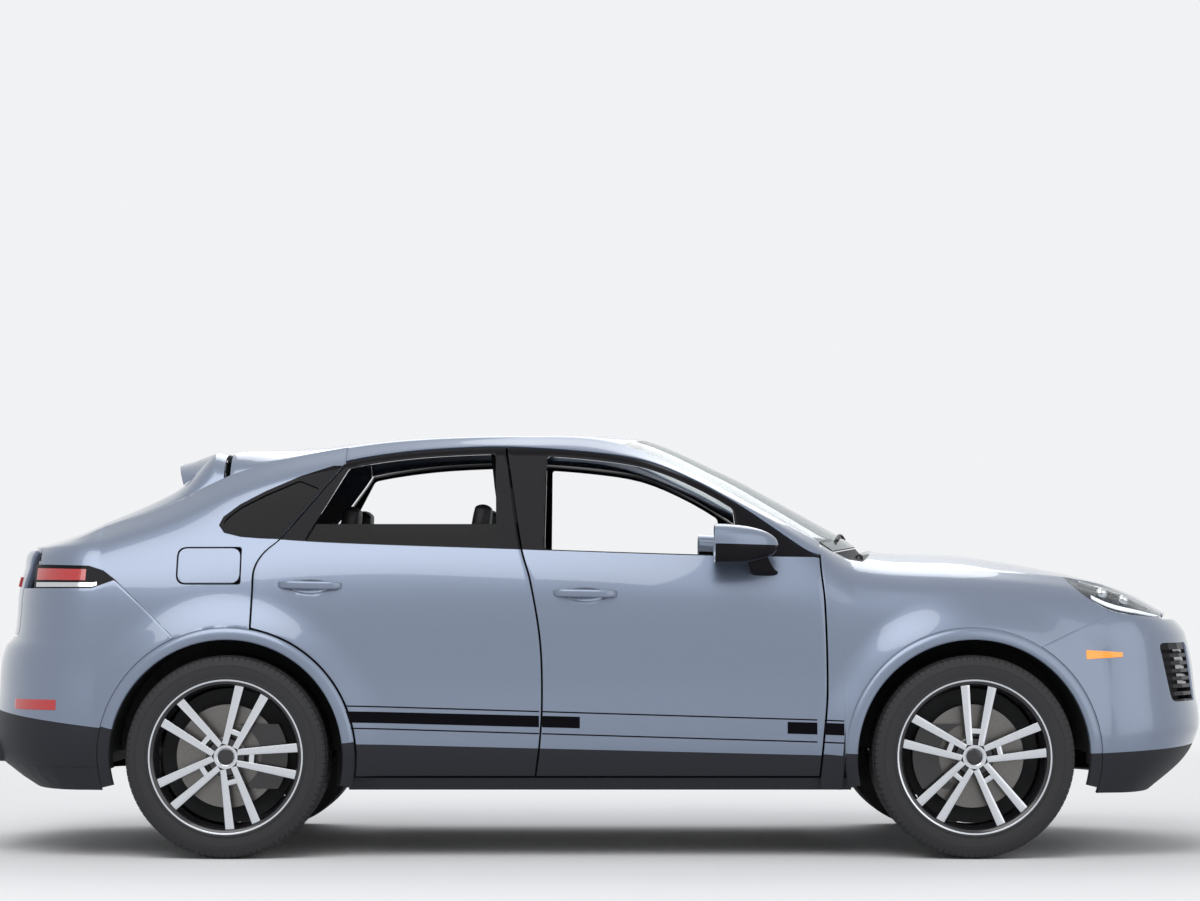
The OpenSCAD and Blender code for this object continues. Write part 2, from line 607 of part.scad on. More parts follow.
// Point of the nose: along is 0 at the wheel opening and 1 where the nose starts to turn
function on_nose(column, z, depth) =
    let (turn = column[1], side = turn > 90 ? -1 : 1, x_arch = x_fa + arch_reach(z, arch_z(front_split_x, x_fa)),
         p = column[0] < 1 ? on_side(mix(x_arch, nose_start_x, column[0]), z, depth)
             : on_end(nose_start_x, nose_line, turn > 90 ? 180 - turn : turn, z, depth))
    [p[0], side * p[1], p[2]];
// Top of the bumper in a column, settled over a few rounds
function nose_top(column, z = 900, rounds = 5) =
    rounds == 0 ? z - seam : nose_top(column, front_top(on_nose(column, z, 0)[0]), rounds - 1);

module front_bumper() color(paint) {
    columns = nose_columns(20);
    rows = steps(12);
    difference() {
        shell([for (c = columns) [for (v = rows) on_nose(c, mix(bumper_low, nose_top(c), v), 0)]],
              [for (c = columns) [for (v = rows) on_nose(c, mix(bumper_low, nose_top(c), v), bumper_t)]]);
        block([x_nose - 400, -centre_intake[0], centre_intake[1]], [x_nose + 50, centre_intake[0], centre_intake[2]]);
        left_and_right() block([front_end_x + 40, side_intake[0], side_intake[2]],
                               [x_nose + 50, side_intake[1], side_intake[3]]);
    }
}

// Slatted grilles that fill the intakes
slat_h = 14;
slat_gap = 16;
grille_in = 5;
grille_t = 12;
grille_fit = 0.4;
grille_border = 10;
module grille(turns, y0, y1, z0, z1) {
    columns = [for (turn = turns) [1, turn]];
    heights = [for (v = steps(4)) mix(z0 - 10, z1 + 10, v)];
    difference() {
        intersection() {
            shell([for (c = columns) [for (z = heights) on_nose(c, z, grille_in)]],
                  [for (c = columns) [for (z = heights) on_nose(c, z, grille_in + grille_t)]]);
            block([front_end_x, y0 + grille_fit, z0 + grille_fit], [x_nose, y1 - grille_fit, z1 - grille_fit]);
        }
        for (z = [z0 + slat_h / 2:slat_h + slat_gap:z1 - slat_gap])
            block([front_end_x, y0 + grille_border, z], [x_nose, y1 - grille_border, z + slat_gap]);
    }
}
module front_grille() color(dark_trim) {
    grille([for (k = [0:10]) mix(40, 140, k / 10)], -centre_intake[0], centre_intake[0], centre_intake[1], centre_intake[2]);
    left_and_right() grille([for (k = [0:6]) mix(9, 60, k / 6)], side_intake[0], side_intake[1], side_intake[2], side_intake[3]);
}

lamp_t = 60;
lamp_gap = 0.6;
module headlamp() {
    xs = concat([front_end_x + 2.5], [for (u = [1:3]) mix(front_end_x, fender_tip_x, u / 3)],
                [for (u = [1:5]) mix(fender_tip_x, x_nose - 231, u / 5)]);
    rows = steps(4);
    function low(x) = curve(lamp_low_line, x) + lamp_gap;
    function high(x) = edge_z(x) - seam;
    function depth(x) = min(lamp_t, (high(x) - low(x)) * 0.8);
    function place(x, v, d) = v == 1 && d > 0 ? [x, side_y(x, high(x)), high(x) - depth(x) * 0.6]
        : on_side(x, mix(low(x), high(x), v), d);
    shell([for (x = xs) [for (v = rows) place(x, v, 0)]], [for (x = xs) [for (v = rows) place(x, v, depth(x))]]);
}
module headlamps() color(lamp_clear) left_and_right() headlamp();

// Rear bumper, diffuser and lamps
diffuser_top = 352;
rear_bumper_top = 852;
function rear_top(x) = x > split_x ? arch_z(split_x, x_ra) - seam
    : x > lamp_tip_x ? rear_split_z(x) - seam : tail_lamp_low - seam;
function tail_columns(n) = concat([for (k = [0:2]) [k / 3, 180]], [for (k = [0:n]) [1, 180 - 180 * k / n]],
                                  [for (k = [2:-1:0]) [k / 3, 0]]);
// Point of the tail, with columns as on the nose
function on_tail(column, z, depth) =
    let (turn = column[1], side = turn > 90 ? -1 : 1, x_arch = x_ra - arch_reach(z, arch_z(split_x, x_ra)),
         p = column[0] < 1 ? on_side(mix(x_arch, rear_end_x, column[0]), z, depth)
             : on_end(rear_end_x, tail_line, turn > 90 ? 180 - turn : turn, z, depth))
    [p[0], side * p[1], p[2]];
function tail_top(column, z = 900, rounds = 5) =
    rounds == 0 ? z - seam : tail_top(column, rear_top(on_tail(column, z, 0)[0]), rounds - 1);

module rear_bumper() color(paint) {
    columns = tail_columns(20);
    rows = steps(11);
    difference() {
        shell([for (c = columns) [for (v = rows) on_tail(c, mix(diffuser_top, tail_top(c), v), 0)]],
              [for (c = columns) [for (v = rows) on_tail(c, mix(diffuser_top, tail_top(c), v), bumper_t)]]);
        block([x_tail - 50, -tailgate_half_w - shut_gap, rear_bumper_top], [rear_end_x, tailgate_half_w + shut_gap, 1300]);
        pipe_cuts();
    }
}
module rear_diffuser() color(dark_trim) {
    columns = tail_columns(20);
    heights = [262, 300, diffuser_top - seam];
    difference() {
        shell([for (c = columns) [for (z = heights) on_tail(c, z, 0)]],
              [for (c = columns) [for (z = heights) on_tail(c, z, bumper_t)]]);
        pipe_cuts();
    }
}

// Tail pipes, in pairs, and the cuts in the bumper round them
tip_r = 46;
pipe_y = 560;
pipe_gap = 110;
pipe_z = 402;
pipe_clear = 8;
module pipe_cuts() left_and_right()
    block([x_tail - 50, pipe_y - pipe_gap - tip_r - pipe_clear, pipe_z - tip_r - pipe_clear],
          [rear_end_x, pipe_y + tip_r + pipe_clear, pipe_z + tip_r + pipe_clear]);

// Place on the tail at a distance y from the centre line
function tail_x(y, z) =
    let (w = side_y(rear_end_x, z))
    rear_end_x + (curve(tail_line, z) - rear_end_x) * pow(max(1 - pow(abs(y) / w, corner_n), 0), 1 / corner_n);
function on_tail_y(y, z, depth) = [tail_x(y, z) + depth, y, z];

module tail_lamp() {
    xs = [for (u = steps(6)) mix(x_tail + 240, lamp_tip_x - 2, u)];
    rows = steps(2);
    function low(x) = max(tail_lamp_low, x > lamp_tip_x - 40 ? mix(tail_lamp_low, 1073, (x - lamp_tip_x + 40) / 40) : 0);
    shell([for (x = xs) [for (v = rows) on_side(x, mix(low(x), tail_lamp_high, v), 0)]],
          [for (x = xs) [for (v = rows) on_side(x, mix(low(x), tail_lamp_high, v), quarter_tail_t + 6)]]);
}
module tail_lamps() color(lamp_red) left_and_right() tail_lamp();

// Hood, hinged along its rear edge
hood_t = 24;
hood_edge_t = 10;
hood_front_x = x_nose - 233;
hood_axis_x = hood_rear_x + 4;
hood_axis_z = 1165;
hood_hinge_y = 500;
hood_hinge_w = 24;
hood_pin_r = 8;

hood_form = [[hood_rear_x, [80, 55, 2.4]], [x_fa, [60, 58, 2.4]], [front_end_x, [60, 22, 2.3]],
             [x_nose - 465, [80, 4, 2.3]], [hood_front_x, [100, 0, 2.5]]];
module hood() color(paint) {
    n = 12;
    m = 12;
    top = crowned(run(hood_rear_x, hood_front_x, m), hood_form, n, shut_gap);
    under = [for (i = [0:n]) [for (j = [0:m]) top[i][j]
        - [0, 0, j == m || i == 0 || i == n ? hood_edge_t : hood_t]]];
    shell(top, under);
    // hinge lugs with their pins
    left_and_right() translate([hood_axis_x, hood_hinge_y, hood_axis_z]) {
        rotate([90, 0, 0]) cylinder(r = hood_pin_r, h = hood_hinge_w + 28, center = true);
        translate([-hood_pin_r, -hood_hinge_w / 2, -hood_pin_r]) cube([90, hood_hinge_w, 2 * hood_pin_r]);
    }
}
// Brackets on the firewall that carry the hood's pins
module hood_brackets() {
    bracket_w = 10;
    left_and_right() for (end = [-1, 1])
        translate([hood_axis_x, hood_hinge_y + end * (hood_hinge_w / 2 + 2 + bracket_w / 2), hood_axis_z])
            rotate([90, 0, 0]) linear_extrude(bracket_w, center = true) difference() {
                union() {
                    circle(r = hood_pin_r + 8);
                    translate([-hood_pin_r - 8, 1000 - hood_axis_z]) square([2 * hood_pin_r + 16, hood_axis_z - 1000]);
                    translate([firewall_x + 20 - hood_axis_x, 1000 - hood_axis_z])
                        square([hood_axis_x - firewall_x - 20, 60]);
                }
                circle(r = hood_pin_r + run_gap);
            }
}

// Tailgate, hinged at the rear edge of the roof
gate_nose_r = 16;
gate_axis_x = roof_rear_x - gate_nose_r - 6;
gate_axis_z = roof_z - 90 - gate_nose_r;
gate_hinge_half = 400;
gate_t = 40;
gate_low_t = 55;
gate_pin_r = 8;
light_bar_z = [1052, 1092];
light_bar_t = 8;
gate_lug_w = 20;
gate_rear_x = x_tail + 285;
gate_front_x = gate_axis_x - 4;

gate_form = [[gate_rear_x, [-135, 8, 2.3]], [x_tail + 500, [-50, 33, 2.6]], [x_ra - 275, [-12, 66, 4]],
             [x_ra - 210, [-6, 84, 5.5]], [x_ra - 111, [0, 138, gate_flatness]], [gate_front_x, [0, gate_crown, gate_flatness]]];
// Upper face of the tailgate, from its left edge to its right edge and from the roof to its lip
function gate_grid(n, m) =
    let (grid = crowned(run(gate_front_x, gate_rear_x, m), gate_form, n, shut_gap)) [for (i = [n:-1:0]) grid[i]];

rear_window = [[roof_rear_x - 212, 470], [x_tail + 400, 560]];
module gate_window_cut() {
    linear_extrude(2000) polygon([[rear_window[0][0], -rear_window[0][1]], [rear_window[0][0], rear_window[0][1]],
                                  [rear_window[1][0], rear_window[1][1]], [rear_window[1][0] - 70, 300],
                                  [rear_window[1][0] - 70, -300], [rear_window[1][0], -rear_window[1][1]]]);
}
module tailgate() color(paint) {
    ys = [for (u = steps(12)) mix(-tailgate_half_w, tailgate_half_w, u)];
    heights = [rear_bumper_top + shut_gap, 910, 980, light_bar_z[0], light_bar_z[1], 1140, 1196];
    upper = gate_grid(16, 12);
    difference() {
        union() {
            shell(upper, lowered(upper, gate_t));
            shell([for (y = ys) [for (z = heights) on_tail_y(y, z, 0)]],
                  [for (y = ys) [for (z = heights) on_tail_y(y, z, gate_low_t)]]);
        }
        gate_window_cut();
        left_and_right() block([gate_axis_x - gate_nose_r - 6, gate_hinge_half, gate_axis_z - 50],
                               [gate_axis_x + 50, gate_hinge_half + gate_lug_w + 10, gate_axis_z + 50]);
    }
    translate([gate_axis_x, 0, gate_axis_z]) rotate([90, 0, 0]) {
        cylinder(r = gate_pin_r, h = 2 * gate_hinge_half + 60, center = true);
        cylinder(r = gate_nose_r, h = 2 * gate_hinge_half, center = true);
    }
}
// Lugs under the roof's rear edge that carry the tailgate's pins
module gate_lugs() {
    left_and_right() translate([gate_axis_x, gate_hinge_half + 5 + gate_lug_w / 2, gate_axis_z])
        rotate([90, 0, 0]) linear_extrude(gate_lug_w, center = true) difference() {
            union() {
                circle(r = gate_nose_r - 2);
                translate([0, 2 - gate_nose_r]) square([70, 2 * gate_nose_r - 10]);
            }
            circle(r = gate_pin_r + run_gap);
        }
}
module rear_glass() color(tint) {
    grid = lowered(gate_grid(12, 12), 4);
    intersection() {
        shell(grid, lowered(grid, glass_t));
        gate_window_cut();
    }
}
// Spoiler standing on the tailgate's upper edge
spoiler_rows = [1, 2, 3];
spoiler_lift = [4, 46, 84];
spoiler_overhang = [0, 6, 36];
module spoiler_body() {
    n = 16;
    grid = gate_grid(n, 12);
    ends = 2;
    function foot(i, j) = grid[i][j] + [0, 0, 0.4];
    function fall(i) = 1 - pow(abs(2 * i / n - 1) / (1 - 2 * ends / n), 6);
    shell([for (i = [ends:n - ends]) [for (k = [0:2])
              foot(i, spoiler_rows[k]) + [-spoiler_overhang[k], 0, max(spoiler_lift[k] * fall(i), 4)]]],
          [for (i = [ends:n - ends]) [for (j = spoiler_rows) foot(i, j)]]);
}
module spoiler() color(paint) spoiler_body();
module tail_light_bar() color(lamp_red) {
    ys = [for (u = [1:11]) mix(-tailgate_half_w, tailgate_half_w, u / 12)];
    shell([for (y = ys) [for (z = light_bar_z) on_tail_y(y, z, -light_bar_t - 0.4)]],
          [for (y = ys) [for (z = light_bar_z) on_tail_y(y, z, -0.4)]]);
}

// Doors

// Outline grid of a door: us run from its rear edge to its front edge, vs from its foot to its top
function door_grid(rear_edge, front_edge, top_rear_x, top_front_x, us, vs, inset, deep) =
    let (z0 = door_bottom + inset, foot_rear = rear_edge(z0) + inset, foot_front = front_edge(z0) - inset)
    [for (u = us)
        let (x_top = mix(top_rear_x + inset, top_front_x - inset, u), z1 = door_top(x_top) - inset,
             z_rear = door_top(top_rear_x + inset) - inset, z_front = door_top(top_front_x - inset) - inset)
        [for (v = vs)
            let (z = mix(z0, z1, v),
                 bend_rear = rear_edge(mix(z0, z_rear, v)) + inset - mix(foot_rear, top_rear_x + inset, v),
                 bend_front = front_edge(mix(z0, z_front, v)) - inset - mix(foot_front, top_front_x - inset, v),
                 x = mix(mix(foot_rear, foot_front, u), x_top, v) + mix(bend_rear, bend_front, u))
            on_side(x, z, deep ? door_depth_at(z) : 0)]];

rear_door_rear = function (z) z < rear_shut_line[0][0] ? rear_door_arc(z) : curve(rear_shut_line, z);
rear_door_front = function (z) curve(middle_shut_line, z) - shut_gap / 2;
front_door_rear = function (z) curve(middle_shut_line, z) + shut_gap / 2;
front_door_front = function (z) curve(front_shut_line, z);

front_axis_x = front_shut_line[2][1] - hinge_back;
rear_axis_x = middle_shut_line[2][1] - shut_gap / 2 - hinge_back;
hinge_zs = [480, 830];
function axis_y(x) = min([for (z = hinge_zs) each [side_y(x, z), side_y(x, z + hinge_pocket_h)]]) - hinge_in;

door_vs = [0, 0.1, 0.2, 0.28, 0.34, 0.39, 0.43, 0.455, 0.475, 0.55, 0.62, 0.68, 0.73, 0.8, 0.9, 1];
module door_solid(rear_edge, front_edge, top_rear_x, top_front_x, axis_x, window) {
    difference() {
        shell(door_grid(rear_edge, front_edge, top_rear_x, top_front_x, steps(10), door_vs, 0, false),
              door_grid(rear_edge, front_edge, top_rear_x, top_front_x, steps(10), door_vs, door_draft, true));
        side_cut(window, 500);
        for (z = hinge_zs) block([axis_x - 21, axis_y(axis_x) - 140, z], [axis_x + 120, axis_y(axis_x) + 20, z + hinge_pocket_h]);
    }
    for (z = hinge_zs) translate([axis_x, axis_y(axis_x), z - 5]) cylinder(r = pin_r, h = hinge_pocket_h + 10);
}
// Arms on a pillar that carry a door's hinge pins
module hinge_arms(axis_x) {
    reach = 132;
    arm_step = 3;
    arm_h = hinge_pocket_h - 20;
    for (z = hinge_zs) translate([axis_x, axis_y(axis_x), z + 10]) difference() {
        union() {
            cylinder(r = pin_r + 8, h = arm_h);
            rotate([0, 0, -70]) translate([0, -8, arm_step]) cube([reach, 16, arm_h - 2 * arm_step]);
        }
        translate([0, 0, -1]) cylinder(r = pin_r + run_gap, h = arm_h + 2);
    }
}

belt_line = [[x_ra + 91, 1242], [x_ra + 386, 1222], [x_ra + 1054, 1198], [x_fa - 1055, 1172], [x_fa - 640, 1166]];
function belt(x) = curve(belt_line, x);
front_window = [[x_fa - 1663, belt(x_fa - 1663)], [x_fa - 918, belt(x_fa - 918)], [x_fa - 918, roof_z - 338],
                [x_fa - 1055, roof_z - 248], [x_fa - 1251, roof_z - 165], [x_fa - 1448, roof_z - 128],
                [x_fa - 1663, roof_z - 111]];
rear_window_side = [[x_ra + 275, belt(x_ra + 275)], [x_ra + 1042, belt(x_ra + 1042)], [x_ra + 1042, roof_z - 106],
                    [x_ra + 661, roof_z - 126], [x_ra + 480, roof_z - 166]];
function window_sill(window, x) =
    mix(window[0][1], window[1][1], (x - window[0][0]) / (window[1][0] - window[0][0]));

handle_l = 240;
handle_out = 26;
module handle(x, z) {
    translate([x, side_y(x, z), z]) rotate([0, 90, 0]) {
        translate([0, handle_out, 0]) linear_extrude(handle_l, center = true) square([26, 12], center = true);
        for (end = [-1, 1]) translate([-9, -12, end * (handle_l / 2 - 16) - 10]) cube([18, handle_out + 12, 20]);
    }
}

module front_door() {
    door_solid(front_door_rear, front_door_front, middle_shut_line[6][1] + shut_gap / 2, x_fa - 590,
               front_axis_x, front_window);
    handle(x_ra + 1390, 1024);
}
module rear_door() {
    door_solid(rear_door_rear, rear_door_front, x_ra + 443, middle_shut_line[6][1] - shut_gap / 2,
               rear_axis_x, rear_window_side);
    handle(x_ra + 320, 1056);
}
module door_front_left() color(paint) front_door();
module door_front_right() color(paint) mirror([0, 1, 0]) front_door();
module door_rear_left() color(paint) rear_door();
module door_rear_right() color(paint) mirror([0, 1, 0]) rear_door();

// Rear door glass, wound down to a strip above the door
glass_top = 1296;
module rear_door_glass() {
    xs = [for (u = steps(6)) mix(x_ra + 335, x_ra + 1040, u)];
    function place(x, v, depth) = on_side(x, mix(window_sill(rear_window_side, x) + seam, glass_top, v), depth);
    shell([for (x = xs) [for (v = [0, 1]) place(x, v, 16)]], [for (x = xs) [for (v = [0, 1]) place(x, v, 16 + glass_t)]]);
}
module glass_rear_left() color(tint) rear_door_glass();
module glass_rear_right() color(tint) mirror([0, 1, 0]) rear_door_glass();

mirror_out = 80;
module mirror_body() {
    foot_x = x_fa - 800;
    foot_z = 1100;
    y = side_y(foot_x, foot_z);
    foot_zs = [foot_z - 15, foot_z, foot_z + 15];
    hull() {
        translate([foot_x - 110, y + mirror_out + 30, 1215]) sphere(r = 78, $fn = 16);
        translate([foot_x + 10, y + mirror_out - 20, 1210]) sphere(r = 46, $fn = 16);
        translate([foot_x - 140, y + mirror_out - 30, 1210]) sphere(r = 66, $fn = 16);
    }
    hull() {
        translate([foot_x - 40, y + mirror_out - 40, 1170]) cube([70, 30, 20], center = true);
        translate([foot_x, y + 16, foot_z]) cube([100, 8, 24], center = true);
    }
    on_side_panel(steps(2), foot_zs, [for (z = foot_zs) foot_x - 55], [for (z = foot_zs) foot_x + 55],
                  [for (z = foot_zs) -18], [for (z = foot_zs) -seam]);
}
module mirror_left() color(paint) mirror_body();
module mirror_right() color(paint) mirror([0, 1, 0]) mirror_body();

// Wheels: each is drawn about its axle, with +Y to the outside

barrel_r = rim_d / 2 - 18;
barrel_t = 10;
hub_r = 78;
hub_t = 40;
spoke_face = 12;
bead_gap = 0.3;

module tyre(w) color(rubber) rotate([-90, 0, 0]) rotate_extrude($fn = 96) {
    r = wheel_r;
    b = barrel_r + bead_gap;
    h = w / 2;
    polygon([[b, -h + 24], [b + 22, -h + 10], [b + 50, -h + 1], [r - 34, -h + 2], [r - 14, -h + 12], [r - 3, -h + 34],
             [r, -h + 70], [r, h - 70], [r - 3, h - 34], [r - 14, h - 12], [r - 34, h - 2], [b + 50, h - 1],
             [b + 22, h - 10], [b, h - 24]]);
}

// Rim: flanged barrel, hub and pairs of spokes, with the spoke face near the outer wall
module rim(w, turn) color(alloy) {
    h = w / 2;
    face = h - spoke_face;
    rotate([-90, 0, 0]) rotate_extrude($fn = 96) polygon([
        [barrel_r - barrel_t, -h + 26], [barrel_r + 12, -h + 10], [barrel_r + 16, -h + 12.6], [barrel_r, -h + 23.2],
        [barrel_r, h - 23.2], [barrel_r + 18, h - 9], [barrel_r + 14, h - 3], [barrel_r - 8, h - 14],
        [barrel_r - barrel_t, h - 24]]);
    difference() {
        union() {
            translate([0, face - hub_t - 14, 0]) rotate([-90, 0, 0]) cylinder(r = hub_r, h = hub_t);
            rotate([0, -turn, 0]) for (k = [0:spoke_pairs - 1]) rotate([0, -k * 360 / spoke_pairs, 0])
                for (side = [-1, 1]) spoke(face, side);
        }
        translate([0, -h, 0]) rotate([-90, 0, 0]) cylinder(r = spindle_r + run_gap, h = w - 40);
    }
}
// One spoke of a pair: swept from the hub to the barrel, leaning outwards from the pair's centre line
module spoke(face, side) {
    lean = 10;
    root = 34;
    tip = barrel_r - barrel_t + 3;
    rotate([0, -side * lean, 0]) translate([0, 0, 0]) rotate([90, 0, 0]) translate([0, 0, -face])
        linear_extrude(34) polygon([[root, -side * 22 - spoke_w * 0.42], [tip, -spoke_w / 2], [tip, spoke_w / 2],
                                    [root, -side * 22 + spoke_w * 0.42]]);
}
module brake_disc(y_out) color(steel) difference() {
    union() {
        translate([0, y_out - disc_t, 0]) rotate([-90, 0, 0]) cylinder(r = disc_d / 2, h = disc_t);
        translate([0, y_out - 1, 0]) rotate([-90, 0, 0]) cylinder(r = hub_r, h = disc_hat + 1);
    }
    translate([0, y_out - disc_t - 1, 0]) rotate([-90, 0, 0]) cylinder(r = spindle_r + 6, h = disc_t + disc_hat + 2);
}
disc_hat = 30;
function disc_out(w) = w / 2 - spoke_face - hub_t - 14 - disc_hat;

module at_wheel(front, side) {
    translate([front ? x_fa : x_ra, side * (front ? front_wheel_y : rear_wheel_y), wheel_r])
        sided(side) children();
}
front_turn = 86;
rear_turn = 68;
module tyre_front_left() at_wheel(true, 1) tyre(front_tyre_w);
module tyre_front_right() at_wheel(true, -1) tyre(front_tyre_w);
module tyre_rear_left() at_wheel(false, 1) tyre(rear_tyre_w);
module tyre_rear_right() at_wheel(false, -1) tyre(rear_tyre_w);
module rim_front_left() at_wheel(true, 1) rim(front_tyre_w, front_turn);
module rim_front_right() at_wheel(true, -1) rim(front_tyre_w, front_turn);
module rim_rear_left() at_wheel(false, 1) rim(rear_tyre_w, rear_turn);
module rim_rear_right() at_wheel(false, -1) rim(rear_tyre_w, rear_turn);
module disc_front_left() at_wheel(true, 1) brake_disc(disc_out(front_tyre_w));
module disc_front_right() at_wheel(true, -1) brake_disc(disc_out(front_tyre_w));
module disc_rear_left() at_wheel(false, 1) brake_disc(disc_out(rear_tyre_w));
module disc_rear_right() at_wheel(false, -1) brake_disc(disc_out(rear_tyre_w));

// Knuckles, calipers and suspension

kingpin_r = 14;
arm_t = 40;
lower_arm_z = 205;
upper_arm_z = 545;
knuckle_w = 60;
caliper_gap = 5;
rear_link_zs = [wheel_r - 110, wheel_r + 55];

// Caliper over a disc, centred at an angle from the front; the wheel's outside is +Y
module caliper(y_out, angle) {
    r_in = disc_d / 2 - 68;
    r_out = disc_d / 2 + 34;
    span = 250;
    rotate([0, -angle, 0]) difference() {
        intersection() {
            translate([0, y_out - disc_t - 38, 0]) rotate([-90, 0, 0]) difference() {
                cylinder(r = r_out, h = disc_t + 66);
                translate([0, 0, -1]) cylinder(r = r_in, h = disc_t + 68);
            }
            translate([0, y_out - 200, -span / 2]) cube([r_out + 10, 400, span]);
        }
        translate([0, y_out - disc_t - caliper_gap, 0]) rotate([-90, 0, 0])
            cylinder(r = disc_d / 2 + caliper_gap, h = disc_t + 2 * caliper_gap);
    }
}

// Spindle, and the caliper on its bracket, about the wheel's centre
module hub_carrier(w, y_in, angle) {
    y_out = disc_out(w);
    bracket_out = y_out - disc_t - 20;
    translate([0, y_in, 0]) rotate([-90, 0, 0]) cylinder(r = spindle_r, h = w / 2 - 46 - y_in);
    rotate([0, -angle, 0]) translate([0, y_in, -45]) cube([disc_d / 2 - 20, bracket_out - y_in, 90]);
    caliper(y_out, angle);
}

kingpin_in = front_wheel_y - kingpin_y;
module knuckle() color(steel) {
    top = upper_arm_z - bead_gap - wheel_r;
    foot = lower_arm_z + arm_t + bead_gap - wheel_r;
    translate([0, -kingpin_in, 0]) {
        block([-knuckle_w / 2, -18, foot], [knuckle_w / 2, 18, top]);
        translate([0, 0, foot - arm_t]) cylinder(r = kingpin_r, h = top - foot + 2 * arm_t);
    }
    hub_carrier(front_tyre_w, -kingpin_in, 180);
}
module knuckle_left() at_wheel(true, 1) knuckle();
module knuckle_right() at_wheel(true, -1) knuckle();

rear_carrier_in = rear_tyre_w / 2 - 20;
module rear_knuckles() color(steel) for (side = [-1, 1]) at_wheel(false, side) {
    block([-40, -rear_carrier_in, -130], [40, -rear_carrier_in + 40, 130]);
    hub_carrier(rear_tyre_w, -rear_carrier_in, 0);
}

// Arms from the chassis rails to the wheels
module front_arm(z) {
    root_y = rail_y + rail_w / 2;
    difference() {
        union() {
            translate([x_fa, 0, z]) linear_extrude(arm_t)
                polygon([[-70, root_y - 70], [70, root_y - 70], [70, root_y + 20], [30, kingpin_y], [-30, kingpin_y], [-70, root_y + 20]]);
            translate([x_fa, kingpin_y, z]) cylinder(r = kingpin_r + 16, h = arm_t);
        }
        translate([x_fa, kingpin_y, z - 1]) cylinder(r = kingpin_r + run_gap, h = arm_t + 2);
    }
}
module suspension_arms() color(dark_trim) left_and_right() {
    rail_in = rail_y - rail_w / 2;
    front_arm(lower_arm_z);
    block([x_fa - 70, rail_in + 2, lower_arm_z + arm_t], [x_fa + 70, rail_y + rail_w / 2 - 2, front_rail_z - rail_h / 2]);
    front_arm(upper_arm_z);
    // rear links
    rear_root = rear_rail_y + rail_w / 2;
    carrier_y = rear_wheel_y - rear_carrier_in;
    for (z = rear_link_zs) block([x_ra - 30, rear_rail_y - 400, z], [x_ra + 30, carrier_y, z + arm_t]);
    block([x_ra - 40, rear_rail_y - 30, wheel_r - 70], [x_ra + 40, rear_rail_y + 30, rear_rail_z - rail_h / 2]);
}

// Engine block between the front rails
engine_w = 540;
module engine() color(steel) {
    block([x_fa - 200, -engine_w / 2, 330], [x_fa + 330, engine_w / 2, 900]);
    for (side = [-1, 1]) block([x_fa + 90, side > 0 ? engine_w / 2 - 1 : -rail_y + rail_w / 2, front_rail_z - 40],
                               [x_fa + 190, side > 0 ? rail_y - rail_w / 2 : 1 - engine_w / 2, front_rail_z + 40]);
}

// Exhaust: silencer under the luggage floor and twin tail pipes on each side
silencer_half = 600;
module exhaust() color(steel) {
    block([x_tail + 240, -silencer_half, pipe_z - 75], [x_tail + 460, silencer_half, pipe_z + 75]);
    left_and_right() {
        for (y = [pipe_y - pipe_gap, pipe_y]) translate([x_tail + 18, y, pipe_z]) rotate([0, 90, 0]) difference() {
            cylinder(r = tip_r, h = 240);
            translate([0, 0, -1]) cylinder(r = tip_r - 4, h = 180);
        }
        block([x_tail + 300, rear_rail_y - rail_w / 2 - 30, pipe_z],
              [x_tail + 340, rear_rail_y + rail_w / 2, rear_rail_z - rail_h / 2]);
    }
}

// Cabin

module dashboard_top() {
    profile = [[0, 640], [0, 1060], [-60, 1090], [-420, 1085], [-530, 1040], [-545, 960], [-440, 890], [-300, 660]];
    translate([firewall_x, 0, 0]) rotate([90, 0, 0]) linear_extrude(1320, center = true) polygon(profile);
}
module dashboard() color(leather) {
    dashboard_top();
    block([firewall_x - 900, -120, floor_z + 120], [firewall_x - 200, 120, 700]);
}

steering_y = 400;
steering_tilt = 24;
column_l = 130;
column_seat = 0.3;
module at_steering_wheel() {
    translate([firewall_x - 650, steering_y, 965]) rotate([0, 90 + steering_tilt, 0]) children();
}
module steering_wheel() color(leather) {
    rim_r = 16;
    at_steering_wheel() {
        rotate_extrude() translate([steering_wheel_d / 2 - rim_r, 0]) circle(r = rim_r, $fn = 24);
        for (turn = [0, 90, 270]) rotate([0, 0, turn]) translate([0, -20, -8]) cube([steering_wheel_d / 2 - rim_r, 40, 16]);
        cylinder(r = 70, h = 30, center = true);
    }
    difference() {
        at_steering_wheel() cylinder(r = 32, h = column_l);
        translate([-column_seat, 0, 0]) dashboard_top();
    }
}

seat_y = 400;
module seat_side(x, width) {
    profile = [[0, floor_z + floor_t], [0, 420], [10, 560], [-20, 600], [-140, 600], [-420, 560], [-520, 980],
               [-570, 1170], [-600, 1220], [-660, 1200], [-670, 1140], [-610, 900], [-540, 480], [-480, 400],
               [-430, floor_z + floor_t]];
    translate([x, 0, 0]) rotate([90, 0, 0]) linear_extrude(width, center = true) polygon(profile);
    headrest(x - 590, 1180, width / 2);
}
